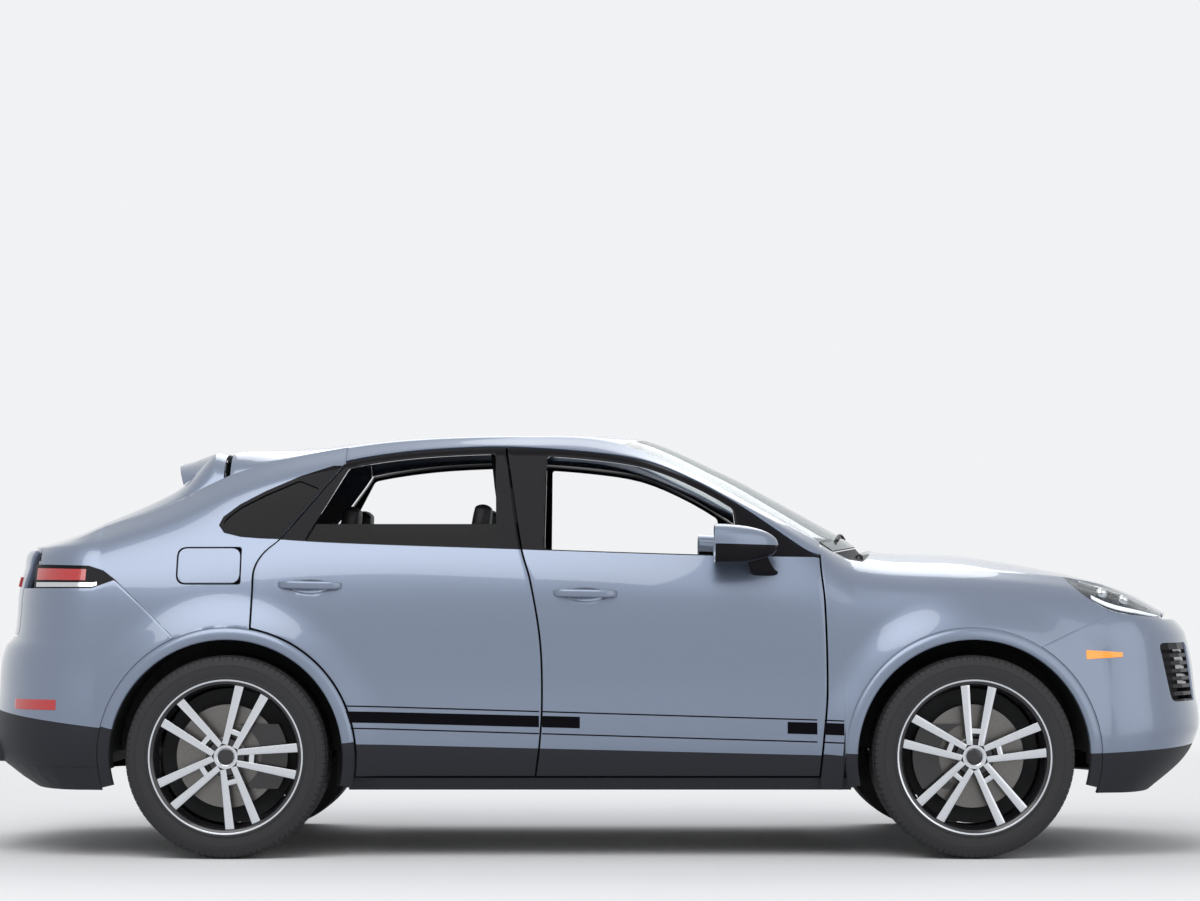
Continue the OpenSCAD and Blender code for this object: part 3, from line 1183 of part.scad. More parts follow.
// Headrest that rises from the front foot of its lower edge
headrest_h = 215;
module headrest(x, z, width) {
    translate([x, 0, z]) rotate([90, 0, 0]) linear_extrude(width, center = true)
        polygon([[0, 0], [-30, headrest_h], [-95, headrest_h - 15], [-70, 0]]);
}
front_seat_x = x_fa - 1290;
rear_seat_x = cabin_rear_x + 615;
module front_seats() color(leather) left_and_right() translate([0, seat_y, 0]) seat_side(front_seat_x, seat_w);
module rear_seat() color(leather) {
    profile = [[0, floor_z + floor_t], [0, 560], [-40, 590], [-420, 560], [-560, 1190], [-610, 1190],
               [-614, floor_z + floor_t]];
    translate([rear_seat_x, 0, 0]) rotate([90, 0, 0]) linear_extrude(2 * floor_half_w - 20, center = true) polygon(profile);
    left_and_right() translate([0, 330, 0]) headrest(rear_seat_x - 560, 1180, seat_w / 2);
}

floor_pan();
sills();
door_posts();
roof_rails();
roof();
windshield();
quarter_left();
quarter_right();
quarter_glass();
fender_left();
fender_right();
arch_trims();
wheel_liners();
front_bumper();
front_grille();
headlamps();
rear_bumper();
rear_diffuser();
tail_lamps();
exhaust();
engine();
suspension_arms();
rear_knuckles();
dashboard();
steering_wheel();
front_seats();
rear_seat();
hood();
tailgate();
rear_glass();
spoiler();
tail_light_bar();
fuel_flap();
door_front_left();
door_front_right();
door_rear_left();
door_rear_right();
glass_rear_left();
glass_rear_right();
mirror_left();
mirror_right();
knuckle_left();
knuckle_right();
tyre_front_left();
tyre_front_right();
tyre_rear_left();
tyre_rear_right();
rim_front_left();
rim_front_right();
rim_rear_left();
rim_rear_right();
disc_front_left();
disc_front_right();
disc_rear_left();
disc_rear_right();
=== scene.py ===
"""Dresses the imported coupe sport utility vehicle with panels, lamps, wheels and a cabin."""

import json
import math

import bmesh
import bpy
import numpy as np
from mathutils import Matrix, Vector


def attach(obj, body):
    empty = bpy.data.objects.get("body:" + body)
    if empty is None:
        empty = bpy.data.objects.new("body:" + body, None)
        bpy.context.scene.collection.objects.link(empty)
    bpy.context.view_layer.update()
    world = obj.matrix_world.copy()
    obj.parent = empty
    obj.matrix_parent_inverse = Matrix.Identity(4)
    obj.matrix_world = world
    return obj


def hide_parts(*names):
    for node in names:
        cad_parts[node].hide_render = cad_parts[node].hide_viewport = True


bl_info = {
    "name": "Coupe Sport Utility Vehicle",
    "version": (1, 0, 0),
    "blender": (4, 5, 0),
    "location": "View3D > Sidebar > Vehicle",
    "description": "Builds the vehicle's panels, lamps, wheels and cabin around its packed frame",
    "category": "Object",
}

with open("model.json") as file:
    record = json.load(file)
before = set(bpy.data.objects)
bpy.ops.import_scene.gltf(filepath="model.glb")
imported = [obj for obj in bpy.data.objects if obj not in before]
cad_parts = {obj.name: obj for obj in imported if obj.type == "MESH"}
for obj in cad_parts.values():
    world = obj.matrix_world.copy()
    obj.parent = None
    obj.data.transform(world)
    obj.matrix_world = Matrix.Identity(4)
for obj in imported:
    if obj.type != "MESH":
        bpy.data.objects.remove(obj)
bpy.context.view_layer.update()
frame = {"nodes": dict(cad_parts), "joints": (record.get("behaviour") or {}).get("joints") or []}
MM = 0.001

# Places on the body, in millimetres: +X to the nose, +Y to the left, +Z up

HALF_W = 991.5
ROOF_Z = 1678.0
X_NOSE = 2465.0
X_TAIL = -2465.0
X_FA = 1458.0
X_RA = -1437.0
WHEEL_R = 392.0
ARCH_R = 452.0
TRIM_R = 500.0
SHUT_GAP = 8.0
SEAM = 0.5
DOOR_T = 85.0
FRAME_T = 42.0
DOOR_DRAFT = 20.0
DOOR_BOTTOM = 317.0
REAR_END_X = X_RA - 515
FRONT_END_X = X_FA + 393
NOSE_START_X = X_FA + 515
HEADER_X = X_FA - 1358
COWL_X = X_FA - 527
HOOD_REAR_X = X_FA - 410
ROOF_REAR_X = X_RA - 28
HOOD_FRONT_X = X_NOSE - 233
GATE_FRONT_X = ROOF_REAR_X - 26
GATE_REAR_X = X_TAIL + 285
CORNER_N = 2.4
FLARE_REACH = 190.0
SIDE_CUT_Y = (500, 1200)
TOP_CUT_Z = (-100.0, 2000.0)


def cubic(t, h, a, slope_a, b, slope_b):
    """Smooth step from a to b over a span h, with the slopes of both ends."""
    start = (2 * t ** 3 - 3 * t ** 2 + 1) * a + (t ** 3 - 2 * t ** 2 + t) * h * slope_a
    return start + (3 * t ** 2 - 2 * t ** 3) * b + (t ** 3 - t ** 2) * h * slope_b


class Line:
    """Smooth curve through (key, value) rows, read at one key or at an array of keys."""

    def __init__(self, rows):
        self.keys = np.array([row[0] for row in rows], float)
        self.values = np.array([row[1] for row in rows], float)
        at = np.arange(len(rows))
        low = np.maximum(at - 1, 0)
        high = np.minimum(at + 1, len(rows) - 1)
        span = self.keys[high] - self.keys[low]
        self.slopes = (self.values[high] - self.values[low]) / self.spread(span)

    def spread(self, v):
        return v.reshape(v.shape + (1,) * (self.values.ndim - 1))

    def __call__(self, v):
        v = np.asarray(v, float)
        i = np.clip(np.searchsorted(self.keys, v, side="right") - 1, 0, len(self.keys) - 2)
        h = self.keys[i + 1] - self.keys[i]
        t = self.spread(np.clip((v - self.keys[i]) / h, 0, 1))
        h = self.spread(h)
        return cubic(t, h, self.values[i], self.slopes[i], self.values[i + 1], self.slopes[i + 1])


def mix(a, b, t):
    return a * (1 - t) + b * t


# Stations along the body, each with (height, inset from the half width) up the side
STATIONS = [
    (REAR_END_X,
     [(262, 111), (450, 66), (700, 66), (950, 86), (1100, 121), (1215, 191), (ROOF_Z - 386, 319)]),
    (X_RA - 263,
     [(262, 91), (450, 46), (700, 46), (960, 66), (1130, 111), (1290, 201), (ROOF_Z - 296, 326)]),
    (X_RA, [(262, 83), (450, 41), (700, 41), (975, 56), (1165, 106), (1400, 226), (ROOF_Z - 173, 351)]),
    (X_RA + 250,
     [(260, 83), (450, 39), (700, 46), (990, 55), (1190, 105), (1480, 246), (ROOF_Z - 106, 361)]),
    (X_RA + 637,
     [(258, 86), (445, 38), (700, 51), (1000, 54), (1205, 104), (1555, 279), (ROOF_Z - 46, 379)]),
    (X_RA + 1137,
     [(258, 88), (440, 38), (690, 54), (1000, 55), (1195, 104), (1585, 289), (ROOF_Z - 26, 391)]),
    (X_FA - 1398,
     [(258, 88), (440, 38), (690, 54), (995, 55), (1185, 104), (1560, 279), (ROOF_Z - 46, 391)]),
    (X_FA - 1058,
     [(258, 88), (440, 38), (690, 54), (990, 55), (1175, 107), (1455, 234), (ROOF_Z - 188, 323)]),
    (X_FA - 818, [(258, 88), (440, 39), (690, 53), (980, 56), (1160, 111), (1330, 191), (1362, 286)]),
    (X_FA - 598, [(258, 88), (440, 40), (685, 52), (960, 57), (1110, 101), (1195, 161), (1238, 249)]),
    (X_FA - 448, [(258, 88), (440, 42), (680, 52), (920, 60), (1040, 98), (1115, 176), (1155, 273)]),
    (X_FA, [(258, 86), (440, 46), (680, 56), (890, 66), (1010, 111), (1082, 191), (1122, 291)]),
    (FRONT_END_X, [(240, 111), (440, 86), (660, 91), (850, 111), (970, 161), (1045, 236), (1090, 341)]),
    (NOSE_START_X, [(240, 132), (440, 93), (660, 98), (850, 119), (960, 167), (1020, 236), (1068, 375)]),
]
SECTIONS = Line([(x, [(z, HALF_W - inset) for z, inset in rows]) for x, rows in STATIONS])
NOSE_LINE = Line([(180, X_NOSE - 330), (240, X_NOSE - 235), (360, X_NOSE - 75), (480, X_NOSE - 4),
                  (540, X_NOSE), (620, X_NOSE - 14), (740, X_NOSE - 26), (830, X_NOSE - 44),
                  (880, X_NOSE - 62), (935, X_NOSE - 118), (1000, X_NOSE - 245), (1050, X_NOSE - 365),
                  (1096, X_NOSE - 490), (1140, X_NOSE - 560)])
TAIL_LINE = Line([(200, X_TAIL + 300), (270, X_TAIL + 165), (340, X_TAIL + 52), (400, X_TAIL + 8),
                  (510, X_TAIL), (620, X_TAIL + 12), (744, X_TAIL + 20), (815, X_TAIL + 40),
                  (850, X_TAIL + 72), (910, X_TAIL + 84), (1040, X_TAIL + 92), (1120, X_TAIL + 112),
                  (1205, X_TAIL + 142), (1235, X_TAIL + 274), (1302, X_TAIL + 400), (1400, X_TAIL + 600)])
LAMP_TOP_LINE = Line([(FRONT_END_X, 1090), (X_NOSE - 465, 1062), (X_NOSE - 346, 1015), (X_NOSE - 229, 942)])
LAMP_LOW_LINE = Line([(FRONT_END_X, 1082), (X_NOSE - 549, 1016), (X_NOSE - 451, 957), (X_NOSE - 315, 936),
                      (X_NOSE - 229, 930)])
DECK_EDGE_LINE = Line([(X_TAIL + 225, 1192), (X_TAIL + 335, 1218), (X_TAIL + 420, 1248),
                       (REAR_END_X, ROOF_Z - 386)])
FRONT_SHUT = Line([(300, X_FA - 600), (453, X_FA - 586), (647, X_FA - 570), (996, X_FA - 578),
                   (1133, X_FA - 590), (1300, X_FA - 590)])
MIDDLE_SHUT = Line([(300, X_RA + 1195), (453, X_RA + 1214), (608, X_RA + 1222), (841, X_RA + 1214),
                    (1074, X_RA + 1175), (1200, X_RA + 1140), (1600, X_RA + 1075)])
REAR_FOOT = 96.0
REAR_SHUT_Z0 = WHEEL_R + math.sqrt((TRIM_R + SHUT_GAP) ** 2 - REAR_FOOT ** 2)
REAR_SHUT_ROWS = [(REAR_SHUT_Z0, X_RA + REAR_FOOT), (1035, X_RA + 99), (1120, X_RA + 104),
                  (1180, X_RA + 137), (1239, X_RA + 203), (1490, X_RA + 407), (1545, X_RA + 447)]
REAR_SHUT = Line(REAR_SHUT_ROWS)
DOOR_TOP = Line([(X_RA + 170, ROOF_Z - 225), (X_RA + 407, ROOF_Z - 143), (X_RA + 661, ROOF_Z - 98),
                 (X_RA + 936, ROOF_Z - 78), (X_RA + 1133, ROOF_Z - 78), (X_FA - 1448, ROOF_Z - 102),
                 (X_FA - 1251, ROOF_Z - 137), (X_FA - 1055, ROOF_Z - 220), (X_FA - 878, ROOF_Z - 326),
                 (X_FA - 642, ROOF_Z - 489), (X_FA - 590, ROOF_Z - 510)])
BELT = Line([(X_RA + 91, 1242), (X_RA + 386, 1222), (X_RA + 1054, 1198), (X_FA - 1055, 1172),
             (X_FA - 640, 1166)])

# Crowns between the two top edges: bow, rise and flatness by station
ROOF_FORM = Line([(ROOF_REAR_X, (0, 106, 9)), (X_RA + 147, (0, 64, 5)), (X_RA + 315, (0, 44, 3.4)),
                  (X_RA + 637, (0, 30, 2.6)), (X_FA - 1700, (10, 26, 2.4)), (HEADER_X, (110, 36, 2.4))])
SCREEN_FORM = Line([(HEADER_X, (110, 36, 2.4)), (COWL_X, (140, 26, 2.2))])
HOOD_FORM = Line([(HOOD_REAR_X, (80, 55, 2.4)), (X_FA, (60, 58, 2.4)), (FRONT_END_X, (60, 22, 2.3)),
                  (X_NOSE - 465, (80, 4, 2.3)), (HOOD_FRONT_X, (100, 0, 2.5))])
GATE_FORM = Line([(GATE_REAR_X, (-135, 8, 2.3)), (X_TAIL + 500, (-50, 33, 2.6)), (X_RA - 275, (-12, 66, 4)),
                  (X_RA - 210, (-6, 84, 5.5)), (X_RA - 111, (0, 138, 9)), (GATE_FRONT_X, (0, 106, 9))])


def flare(x, z, axle_x, swell):
    t = np.clip((np.hypot(x - axle_x, z - WHEEL_R) - ARCH_R) / FLARE_REACH, 0, 1)
    return swell * (1 + np.cos(np.pi * t)) / 2


def narrowing(x, z):
    ahead = (x - NOSE_START_X) / (NOSE_LINE(z) - NOSE_START_X)
    behind = (REAR_END_X - x) / (REAR_END_X - TAIL_LINE(z))
    reach = np.clip(np.where(x > NOSE_START_X, ahead, np.where(x < REAR_END_X, behind, 0)), 0, 1)
    return np.maximum(1 - reach ** CORNER_N, 0) ** (1 / CORNER_N)


def side_y(x, z):
    """Half width of the body at any place on its side."""
    x, z = np.broadcast_arrays(np.asarray(x, float), np.asarray(z, float))
    xc = np.clip(x, REAR_END_X, NOSE_START_X)
    rows = SECTIONS(xc)
    zs = rows[..., 0]
    ys = rows[..., 1]
    last = zs.shape[-1] - 1
    zc = np.clip(z, zs[..., 0], zs[..., last])
    i = np.sum(zc[..., None] >= zs[..., 1:last], axis=-1)

    def pick(table, k):
        return np.take_along_axis(table, np.clip(k, 0, last)[..., None], -1)[..., 0]

    def slope(k):
        a = np.maximum(k - 1, 0)
        b = np.minimum(k + 1, last)
        return (pick(ys, b) - pick(ys, a)) / (pick(zs, b) - pick(zs, a))

    h = pick(zs, i + 1) - pick(zs, i)
    t = (zc - pick(zs, i)) / h
    y = cubic(t, h, pick(ys, i), slope(i), pick(ys, i + 1), slope(i + 1))
    return (y + flare(xc, z, X_FA, 40) + flare(xc, z, X_RA, 35)) * narrowing(x, z)


def edge_z(x):
    x = np.asarray(x, float)
    top = SECTIONS(np.clip(x, REAR_END_X, NOSE_START_X))[..., 6, 0]
    return np.where(x > FRONT_END_X, LAMP_TOP_LINE(x), np.where(x < REAR_END_X, DECK_EDGE_LINE(x), top))


def on_side(x, z, depth=0.0):
    x, z = np.broadcast_arrays(np.asarray(x, float), np.asarray(z, float))
    return np.stack([x, side_y(x, z) - depth, z], -1)


def on_end(start_x, line, turn, z, depth=0.0):
    """Point of the nose or tail: turn runs from 0 on the left side over 90 at the centre line to 180."""
    turn, z = np.broadcast_arrays(np.asarray(turn, float), np.asarray(z, float))
    reach = line(z) - start_x
    c = np.cos(np.radians(turn))
    s = np.maximum(np.sin(np.radians(turn)), 0)
    half = (side_y(np.full_like(z, start_x), z) - depth) * np.sign(c) * np.abs(c) ** (2 / CORNER_N)
    return np.stack([start_x + (reach - np.sign(reach) * depth) * s ** (2 / CORNER_N), half, z], -1)


def end_x(start_x, line, y, z):
    """Place along the body of a point on the nose or tail."""
    y, z = np.broadcast_arrays(np.asarray(y, float), np.asarray(z, float))
    w = side_y(np.full_like(z, start_x), z)
    fill = np.maximum(1 - (np.abs(y) / w) ** CORNER_N, 0) ** (1 / CORNER_N)
    return start_x + (line(z) - start_x) * fill


def tail_x(y, z):
    return end_x(REAR_END_X, TAIL_LINE, y, z)


def crowned(s, x, form, inset=0.0):
    """Point of a top surface: s runs from -1 on the right edge to 1 on the left edge."""
    f = form(x)
    k = 1 - np.abs(s) ** f[..., 2]
    z = edge_z(x)
    return np.stack([x + f[..., 0] * k, (side_y(x, z) - inset) * s, z + f[..., 1] * k], -1)


# Finishes

FINISHES = {}


class Wire:
    """A shader socket that can be used in sums, differences and products."""

    def __init__(self, tree, socket):
        self.tree = tree
        self.socket = socket

    def maths(self, operation, a, b):
        made = node(self.tree, "ShaderNodeMath", {"operation": operation}, {0: a, 1: b})
        return Wire(self.tree, made.outputs[0])

    def __add__(self, other):
        return self.maths("ADD", self, other)

    def __radd__(self, other):
        return self.maths("ADD", other, self)

    def __sub__(self, other):
        return self.maths("SUBTRACT", self, other)

    def __rsub__(self, other):
        return self.maths("SUBTRACT", other, self)

    def __mul__(self, other):
        return self.maths("MULTIPLY", self, other)

    def __rmul__(self, other):
        return self.maths("MULTIPLY", other, self)


def plug(tree, socket, value):
    """Gives a socket a value, or links it to another socket."""
    if isinstance(value, Wire):
        value = value.socket
    if isinstance(value, bpy.types.NodeSocket):
        tree.links.new(value, socket)
    else:
        socket.default_value = value


def node(tree, kind, settings=None, inputs=None):
    """Adds a node with its settings first and then the values or links of its sockets."""
    made = tree.nodes.new(kind)
    for key, value in (settings or {}).items():
        if key == "stops":
            ramp = made.color_ramp
            ramp.elements[0].position, ramp.elements[0].color = value[0]
            ramp.elements[1].position, ramp.elements[1].color = value[-1]
            for position, colour in value[1:-1]:
                ramp.elements.new(position).color = colour
        else:
            setattr(made, key, value)
    for key, value in (inputs or {}).items():
        plug(tree, made.inputs[key], value)
    return made


class Finish:
    """A material made of nodes, with one principled shader."""

    def __init__(self, key, name, colour, **shader):
        FINISHES[key] = self
        self.material = bpy.data.materials.new(name)
        self.material.use_nodes = True
        self.material.diffuse_color = (*colour, 1)
        self.tree = self.material.node_tree
        self.shader = self.tree.nodes["Principled BSDF"]
        self.colour = (*colour, 1)
        self.set("Base Color", self.colour)
        for key, value in shader.items():
            self.set(key.replace("_", " ").title().replace("Ior", "IOR"), value)
        self.place = self.add("ShaderNodeTexCoord").outputs["Object"]

    def add(self, kind, settings=None, inputs=None):
        return node(self.tree, kind, settings, inputs)

    def set(self, key, value):
        plug(self.tree, self.shader.inputs[key], value)

    def noise(self, scale, detail=2.0, stretch=None):
        place = self.place
        if stretch:
            place = self.add("ShaderNodeMapping", None, {"Vector": place, "Scale": stretch}).outputs[0]
        made = self.add("ShaderNodeTexNoise", None, {"Vector": place, "Scale": scale, "Detail": detail})
        return Wire(self.tree, made.outputs["Fac"])

    def cells(self, scale):
        return self.add("ShaderNodeTexVoronoi", None, {"Vector": self.place, "Scale": scale})

    def blend(self, share, a, b):
        made = self.add("ShaderNodeMix", {"data_type": "RGBA"}, {0: share, 6: a, 7: b})
        return made.outputs[2]

    def shade(self, share, low, high):
        """Base colour that varies between two multiples of the finish's colour."""
        dark = tuple(min(c * low, 1) for c in self.colour[:3]) + (1,)
        pale = tuple(min(c * high, 1) for c in self.colour[:3]) + (1,)
        self.set("Base Color", self.blend(share, dark, pale))

    def bump(self, wire, strength, distance):
        made = self.add("ShaderNodeBump", None, {"Strength": strength, "Distance": distance, "Height": wire})
        self.set("Normal", made.outputs["Normal"])


def linear(r, g, b):
    """Linear colour of an sRGB colour in parts of 255."""
    return tuple((c / 255 / 12.92 if c <= 10 else ((c / 255 + 0.055) / 1.055) ** 2.4) for c in (r, g, b))


def make_finishes(look):
    paint = Finish("paint", "metallic_paint", look.paint, metallic=0.55, roughness=0.34, coat_weight=1.0,
                   coat_roughness=0.03)
    flake = Wire(paint.tree, paint.cells(2600).outputs["Color"])
    paint.shade(flake, 0.86, 1.14)
    paint.set("Roughness", 0.3 + 0.08 * paint.noise(420, 1))

    gloss = Finish("gloss", "gloss_black", look.gloss_black, roughness=0.12, specular_ior_level=0.08)
    gloss.shade(gloss.noise(35), 0.8, 1.2)

    cladding = Finish("cladding", "grained_cladding", look.cladding, roughness=0.55, specular_ior_level=0.25)
    grain = cladding.noise(900, 3)
    cladding.shade(grain, 0.8, 1.2)
    cladding.set("Roughness", 0.48 + 0.14 * grain)
    cladding.bump(grain, 0.25, 0.0004)

    rubber = Finish("rubber", "tyre_rubber", look.rubber, roughness=0.7)
    dust = rubber.noise(60, 4)
    rubber.shade(dust, 0.75, 1.3)
    rubber.set("Roughness", 0.6 + 0.2 * dust)
    rubber.bump(rubber.noise(700, 2), 0.2, 0.0004)

    machined = Finish("machined", "machined_alloy", look.machined, metallic=1.0, roughness=0.22)
    machined.set("Roughness", 0.18 + 0.1 * machined.noise(180, 2, (1, 8, 1)))
    machined.shade(machined.noise(260, 2, (1, 6, 1)), 0.93, 1.05)

    pocket = Finish("pocket", "wheel_pocket_black", look.gloss_black, roughness=0.2, coat_weight=0.4,
                    coat_roughness=0.06)
    pocket.shade(pocket.noise(50), 0.7, 1.3)

    disc = Finish("disc", "brake_disc", linear(120, 118, 116), metallic=1.0, roughness=0.3)
    disc.set("Roughness", 0.26 + 0.14 * disc.noise(300, 2))
    disc.shade(disc.noise(90, 3), 0.75, 1.1)

    iron = Finish("iron", "cast_iron", linear(58, 59, 62), metallic=0.6, roughness=0.55)
    iron.shade(iron.noise(120, 4), 0.7, 1.25)
    iron.bump(iron.noise(420, 3), 0.3, 0.0006)

    underbody = Finish("underbody", "underbody_coating", linear(34, 35, 37), roughness=0.75)
    underbody.shade(underbody.noise(80, 4), 0.7, 1.25)
    underbody.bump(underbody.noise(300, 3), 0.3, 0.0008)

    screen = Finish("screen", "window_glass", linear(206, 214, 216), roughness=0.02, transmission_weight=1.0,
                    ior=1.12)
    screen.shade(screen.noise(3), 0.97, 1.0)

    tint = Finish("tint", "tinted_glass", linear(22, 22, 24), roughness=0.03, transmission_weight=0.6,
                  ior=1.2)
    tint.shade(tint.noise(4), 0.9, 1.1)

    lens = Finish("lens", "clear_lens", linear(236, 240, 243), roughness=0.01, transmission_weight=1.0,
                  ior=1.2)
    lens.shade(lens.noise(6), 0.97, 1.0)

    red = Finish("red", "red_lens", look.red_lens, roughness=0.12, coat_weight=1.0, coat_roughness=0.02)
    ribs = Wire(red.tree, red.add("ShaderNodeTexWave", {"bands_direction": "Z"},
                                  {"Vector": red.place, "Scale": 90.0}).outputs["Fac"])
    red.shade(ribs, 0.65, 1.25)
    # Faint glow of the red lenses: lamp light on the tail lamps and light bar, painted light on the rear
    # reflectors, which are no lamps
    red.set("Emission Color", (*look.red_lens, 1))
    red.set("Emission Strength", 0.25)
    red.bump(ribs, 0.2, 0.0008)

    amber = Finish("amber", "amber_lens", linear(235, 140, 32), roughness=0.15, coat_weight=1.0,
                   coat_roughness=0.02)
    amber.shade(amber.noise(500, 1), 0.85, 1.1)
    amber.set("Emission Color", (*linear(255, 150, 30), 1))
    amber.set("Emission Strength", 0.5)

    glow = Finish("glow", "lamp_glow", linear(248, 250, 255), roughness=0.2)
    glow.shade(glow.noise(200, 1), 0.95, 1.0)
    glow.set("Emission Color", (0.9, 0.95, 1.0, 1))
    glow.set("Emission Strength", 0.7)

    chrome = Finish("chrome", "bright_metal", linear(205, 207, 210), metallic=1.0, roughness=0.12)
    chrome.set("Roughness", 0.09 + 0.08 * chrome.noise(200))
    chrome.shade(chrome.noise(40), 0.95, 1.03)

    stripe = Finish("stripe", "stripe_film", look.stripe, roughness=0.5, specular_ior_level=0.04)
    stripe.shade(stripe.noise(300), 0.85, 1.15)

    leather = Finish("leather", "black_leather", look.leather, roughness=0.5, specular_ior_level=0.4)
    hide = Wire(leather.tree, leather.cells(420).outputs["Distance"])
    leather.shade(leather.noise(30, 3), 0.8, 1.25)
    leather.set("Roughness", 0.42 + 0.2 * leather.noise(60, 2))
    leather.bump(hide, 0.35, 0.0006)

    lining = Finish("lining", "cabin_lining", linear(52, 52, 55), roughness=0.9)
    weave = lining.noise(800, 2)
    lining.shade(weave, 0.8, 1.2)
    lining.bump(weave, 0.2, 0.0004)


def finish(*names):
    return [FINISHES[name].material for name in names]


# Building blocks of the pieces

def grid(bm, nu, nv, place, side=1):
    """Grid of faces whose points come from place(i, j) in millimetres, facing away from the body's core."""
    verts = bmesh.ops.create_grid(bm, x_segments=nu, y_segments=nv, size=1.0)["verts"]
    i, j = np.meshgrid(np.arange(nu + 1), np.arange(nv + 1))
    points = place(i.ravel(), j.ravel()) * MM
    points[:, 1] *= side
    for vert, point in zip(verts, points):
        vert.co = point
    faces = list(dict.fromkeys(face for vert in verts for face in vert.link_faces))
    outward = 0.0
    for face in faces:
        face.normal_update()
        centre = face.calc_center_median()
        core = Vector((centre.x * 0.75, 0, 0.7))
        outward += face.calc_area() * face.normal.dot((centre - core).normalized())
    if outward < 0:
        bmesh.ops.reverse_faces(bm, faces=faces)
    return faces


def pushed(corners, shift):
    """Cutter with a flat outline in millimetres that is pushed along one direction."""
    bm = bmesh.new()
    face = bm.faces.new([bm.verts.new([c * MM for c in corner]) for corner in corners])
    made = bmesh.ops.extrude_face_region(bm, geom=[face])["geom"]
    moved = [v for v in made if isinstance(v, bmesh.types.BMVert)]
    bmesh.ops.translate(bm, verts=moved, vec=[c * MM for c in shift])
    bmesh.ops.recalc_face_normals(bm, faces=bm.faces)
    return loose("cutter", bm)


def prism(points, side):
    """Outline drawn in the side view that runs through one side of the body."""
    low, high = SIDE_CUT_Y
    return pushed([(x, side * low, z) for x, z in points], (0, side * (high - low), 0))


def upright(points):
    """Outline drawn in the top view that runs up through the body."""
    low, high = TOP_CUT_Z
    return pushed([(x, y, low) for x, y in points], (0, 0, high - low))


def frontal(points, x0, x1):
    """Outline drawn in the front view, running from x0 to x1."""
    return pushed([(x0, y, z) for y, z in points], (x1 - x0, 0, 0))


def box(bm, low, high):
    """Box between two corners in millimetres."""
    made = bmesh.ops.create_cube(bm, size=1.0)["verts"]
    low = Vector(low) * MM
    high = Vector(high) * MM
    bmesh.ops.scale(bm, verts=made, vec=high - low)
    bmesh.ops.translate(bm, verts=made, vec=(low + high) / 2)
    return made


def spun(bm, points, centre, axis, steps):
    """Turns a closed outline in metres once about an axis."""
    ring = [bm.verts.new(point) for point in points]
    edges = [bm.edges.new((ring[k - 1], ring[k])) for k in range(len(ring))]
    before = set(bm.faces)
    bmesh.ops.spin(bm, geom=ring + edges, cent=centre, axis=axis, angle=math.tau, steps=steps,
                   use_merge=True)
    faces = [face for face in bm.faces if face not in before]
    bmesh.ops.recalc_face_normals(bm, faces=faces)
    return faces


def soft_box(name, low, high, offset, segments, look, slot):
    """Piece made of one box with rounded edges."""
    bm = bmesh.new()
    edges = list({e for v in box(bm, low, high) for e in v.link_edges})
    bmesh.ops.bevel(bm, geom=edges, offset=offset, offset_type="OFFSET", affect="EDGES", segments=segments,
                    profile=0.5, material=-1)
    return piece(name, bm, "body", finish(look), slot)


def loose(name, bm):
    mesh = bpy.data.meshes.new(name)
    bm.to_mesh(mesh)
    bm.free()
    made = bpy.data.objects.new(name, mesh)
    bpy.context.scene.collection.objects.link(made)
    return made


def settle(made, sharp=35):
    """Applies a piece's modifiers and smooths it, apart from its sharp edges."""
    bpy.context.view_layer.update()
    done = bpy.data.meshes.new_from_object(made.evaluated_get(bpy.context.evaluated_depsgraph_get()))
    made.modifiers.clear()
    old = made.data
    done.name = made.name
    made.data = done
    bpy.data.meshes.remove(old)
    done.polygons.foreach_set("use_smooth", [True] * len(done.polygons))
    done.set_sharp_from_angle(angle=math.radians(sharp))


def piece(name, bm, body, materials, slot, wall=0.0, bevel=0.0, cutters=(), kept=(), replaces=(), sharp=35,
          levels=0):
    """Finished piece that rides on a body: walled inwards, cut, rounded and smoothed."""
    made = loose(name, bm)
    for material in materials:
        made.data.materials.append(material)
    if wall:
        solid = made.modifiers.new("wall", "SOLIDIFY")
        solid.thickness = wall * MM
        solid.offset = -1.0
        solid.use_even_offset = False
    for operation, tools in (("INTERSECT", kept), ("DIFFERENCE", cutters)):
        for tool in tools:
            cut = made.modifiers.new("cut", "BOOLEAN")
            cut.operation = operation
            cut.solver = "EXACT"
            cut.object = tool
    if bevel:
        edge = made.modifiers.new("edge", "BEVEL")
        edge.width = bevel * MM
        edge.segments = 2
        edge.limit_method = "ANGLE"
        edge.angle_limit = math.radians(40)
    if levels:
        soft = made.modifiers.new("soft", "SUBSURF")
        soft.levels = levels
        soft.render_levels = levels
    settle(made, sharp)
    for tool in (*kept, *cutters):
        bpy.data.objects.remove(tool)
    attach(made, body)
    if replaces:
        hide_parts(*replaces)
    return made


def panel(name, lattice, body, materials, slot, **more):
    """Piece made of one grid of faces, given by the grid's counts, place and side."""
    bm = bmesh.new()
    grid(bm, *lattice)
    return piece(name, bm, body, materials, slot, **more)


def rod(name, rings, body, materials, slot, **more):
    """Piece made of one closed tube, given by its ring and counts."""
    bm = bmesh.new()
    tube(bm, *rings)
    return piece(name, bm, body, materials, slot, **more)


def on_left(side, node_name):
    """The node that a left and a right piece replace together, named by the left one."""
    return [node_name] if side > 0 else []


def paint_faces(faces, index):
    for face in faces:
        face.material_index = index


SIDES = (("left", 1), ("right", -1))


def rounded(points, radius, n=5):
    """Outline with its corners rounded."""
    points = [Vector(p) for p in points]
    done = []
    for k, corner in enumerate(points):
        before = points[k - 1] - corner
        after = points[(k + 1) % len(points)] - corner
        a = corner + before.normalized() * min(radius, before.length / 2.1)
        b = corner + after.normalized() * min(radius, after.length / 2.1)
        for t in np.linspace(0, 1, n):
            done.append(tuple(a * (1 - t) ** 2 + corner * 2 * t * (1 - t) + b * t ** 2))
    return done


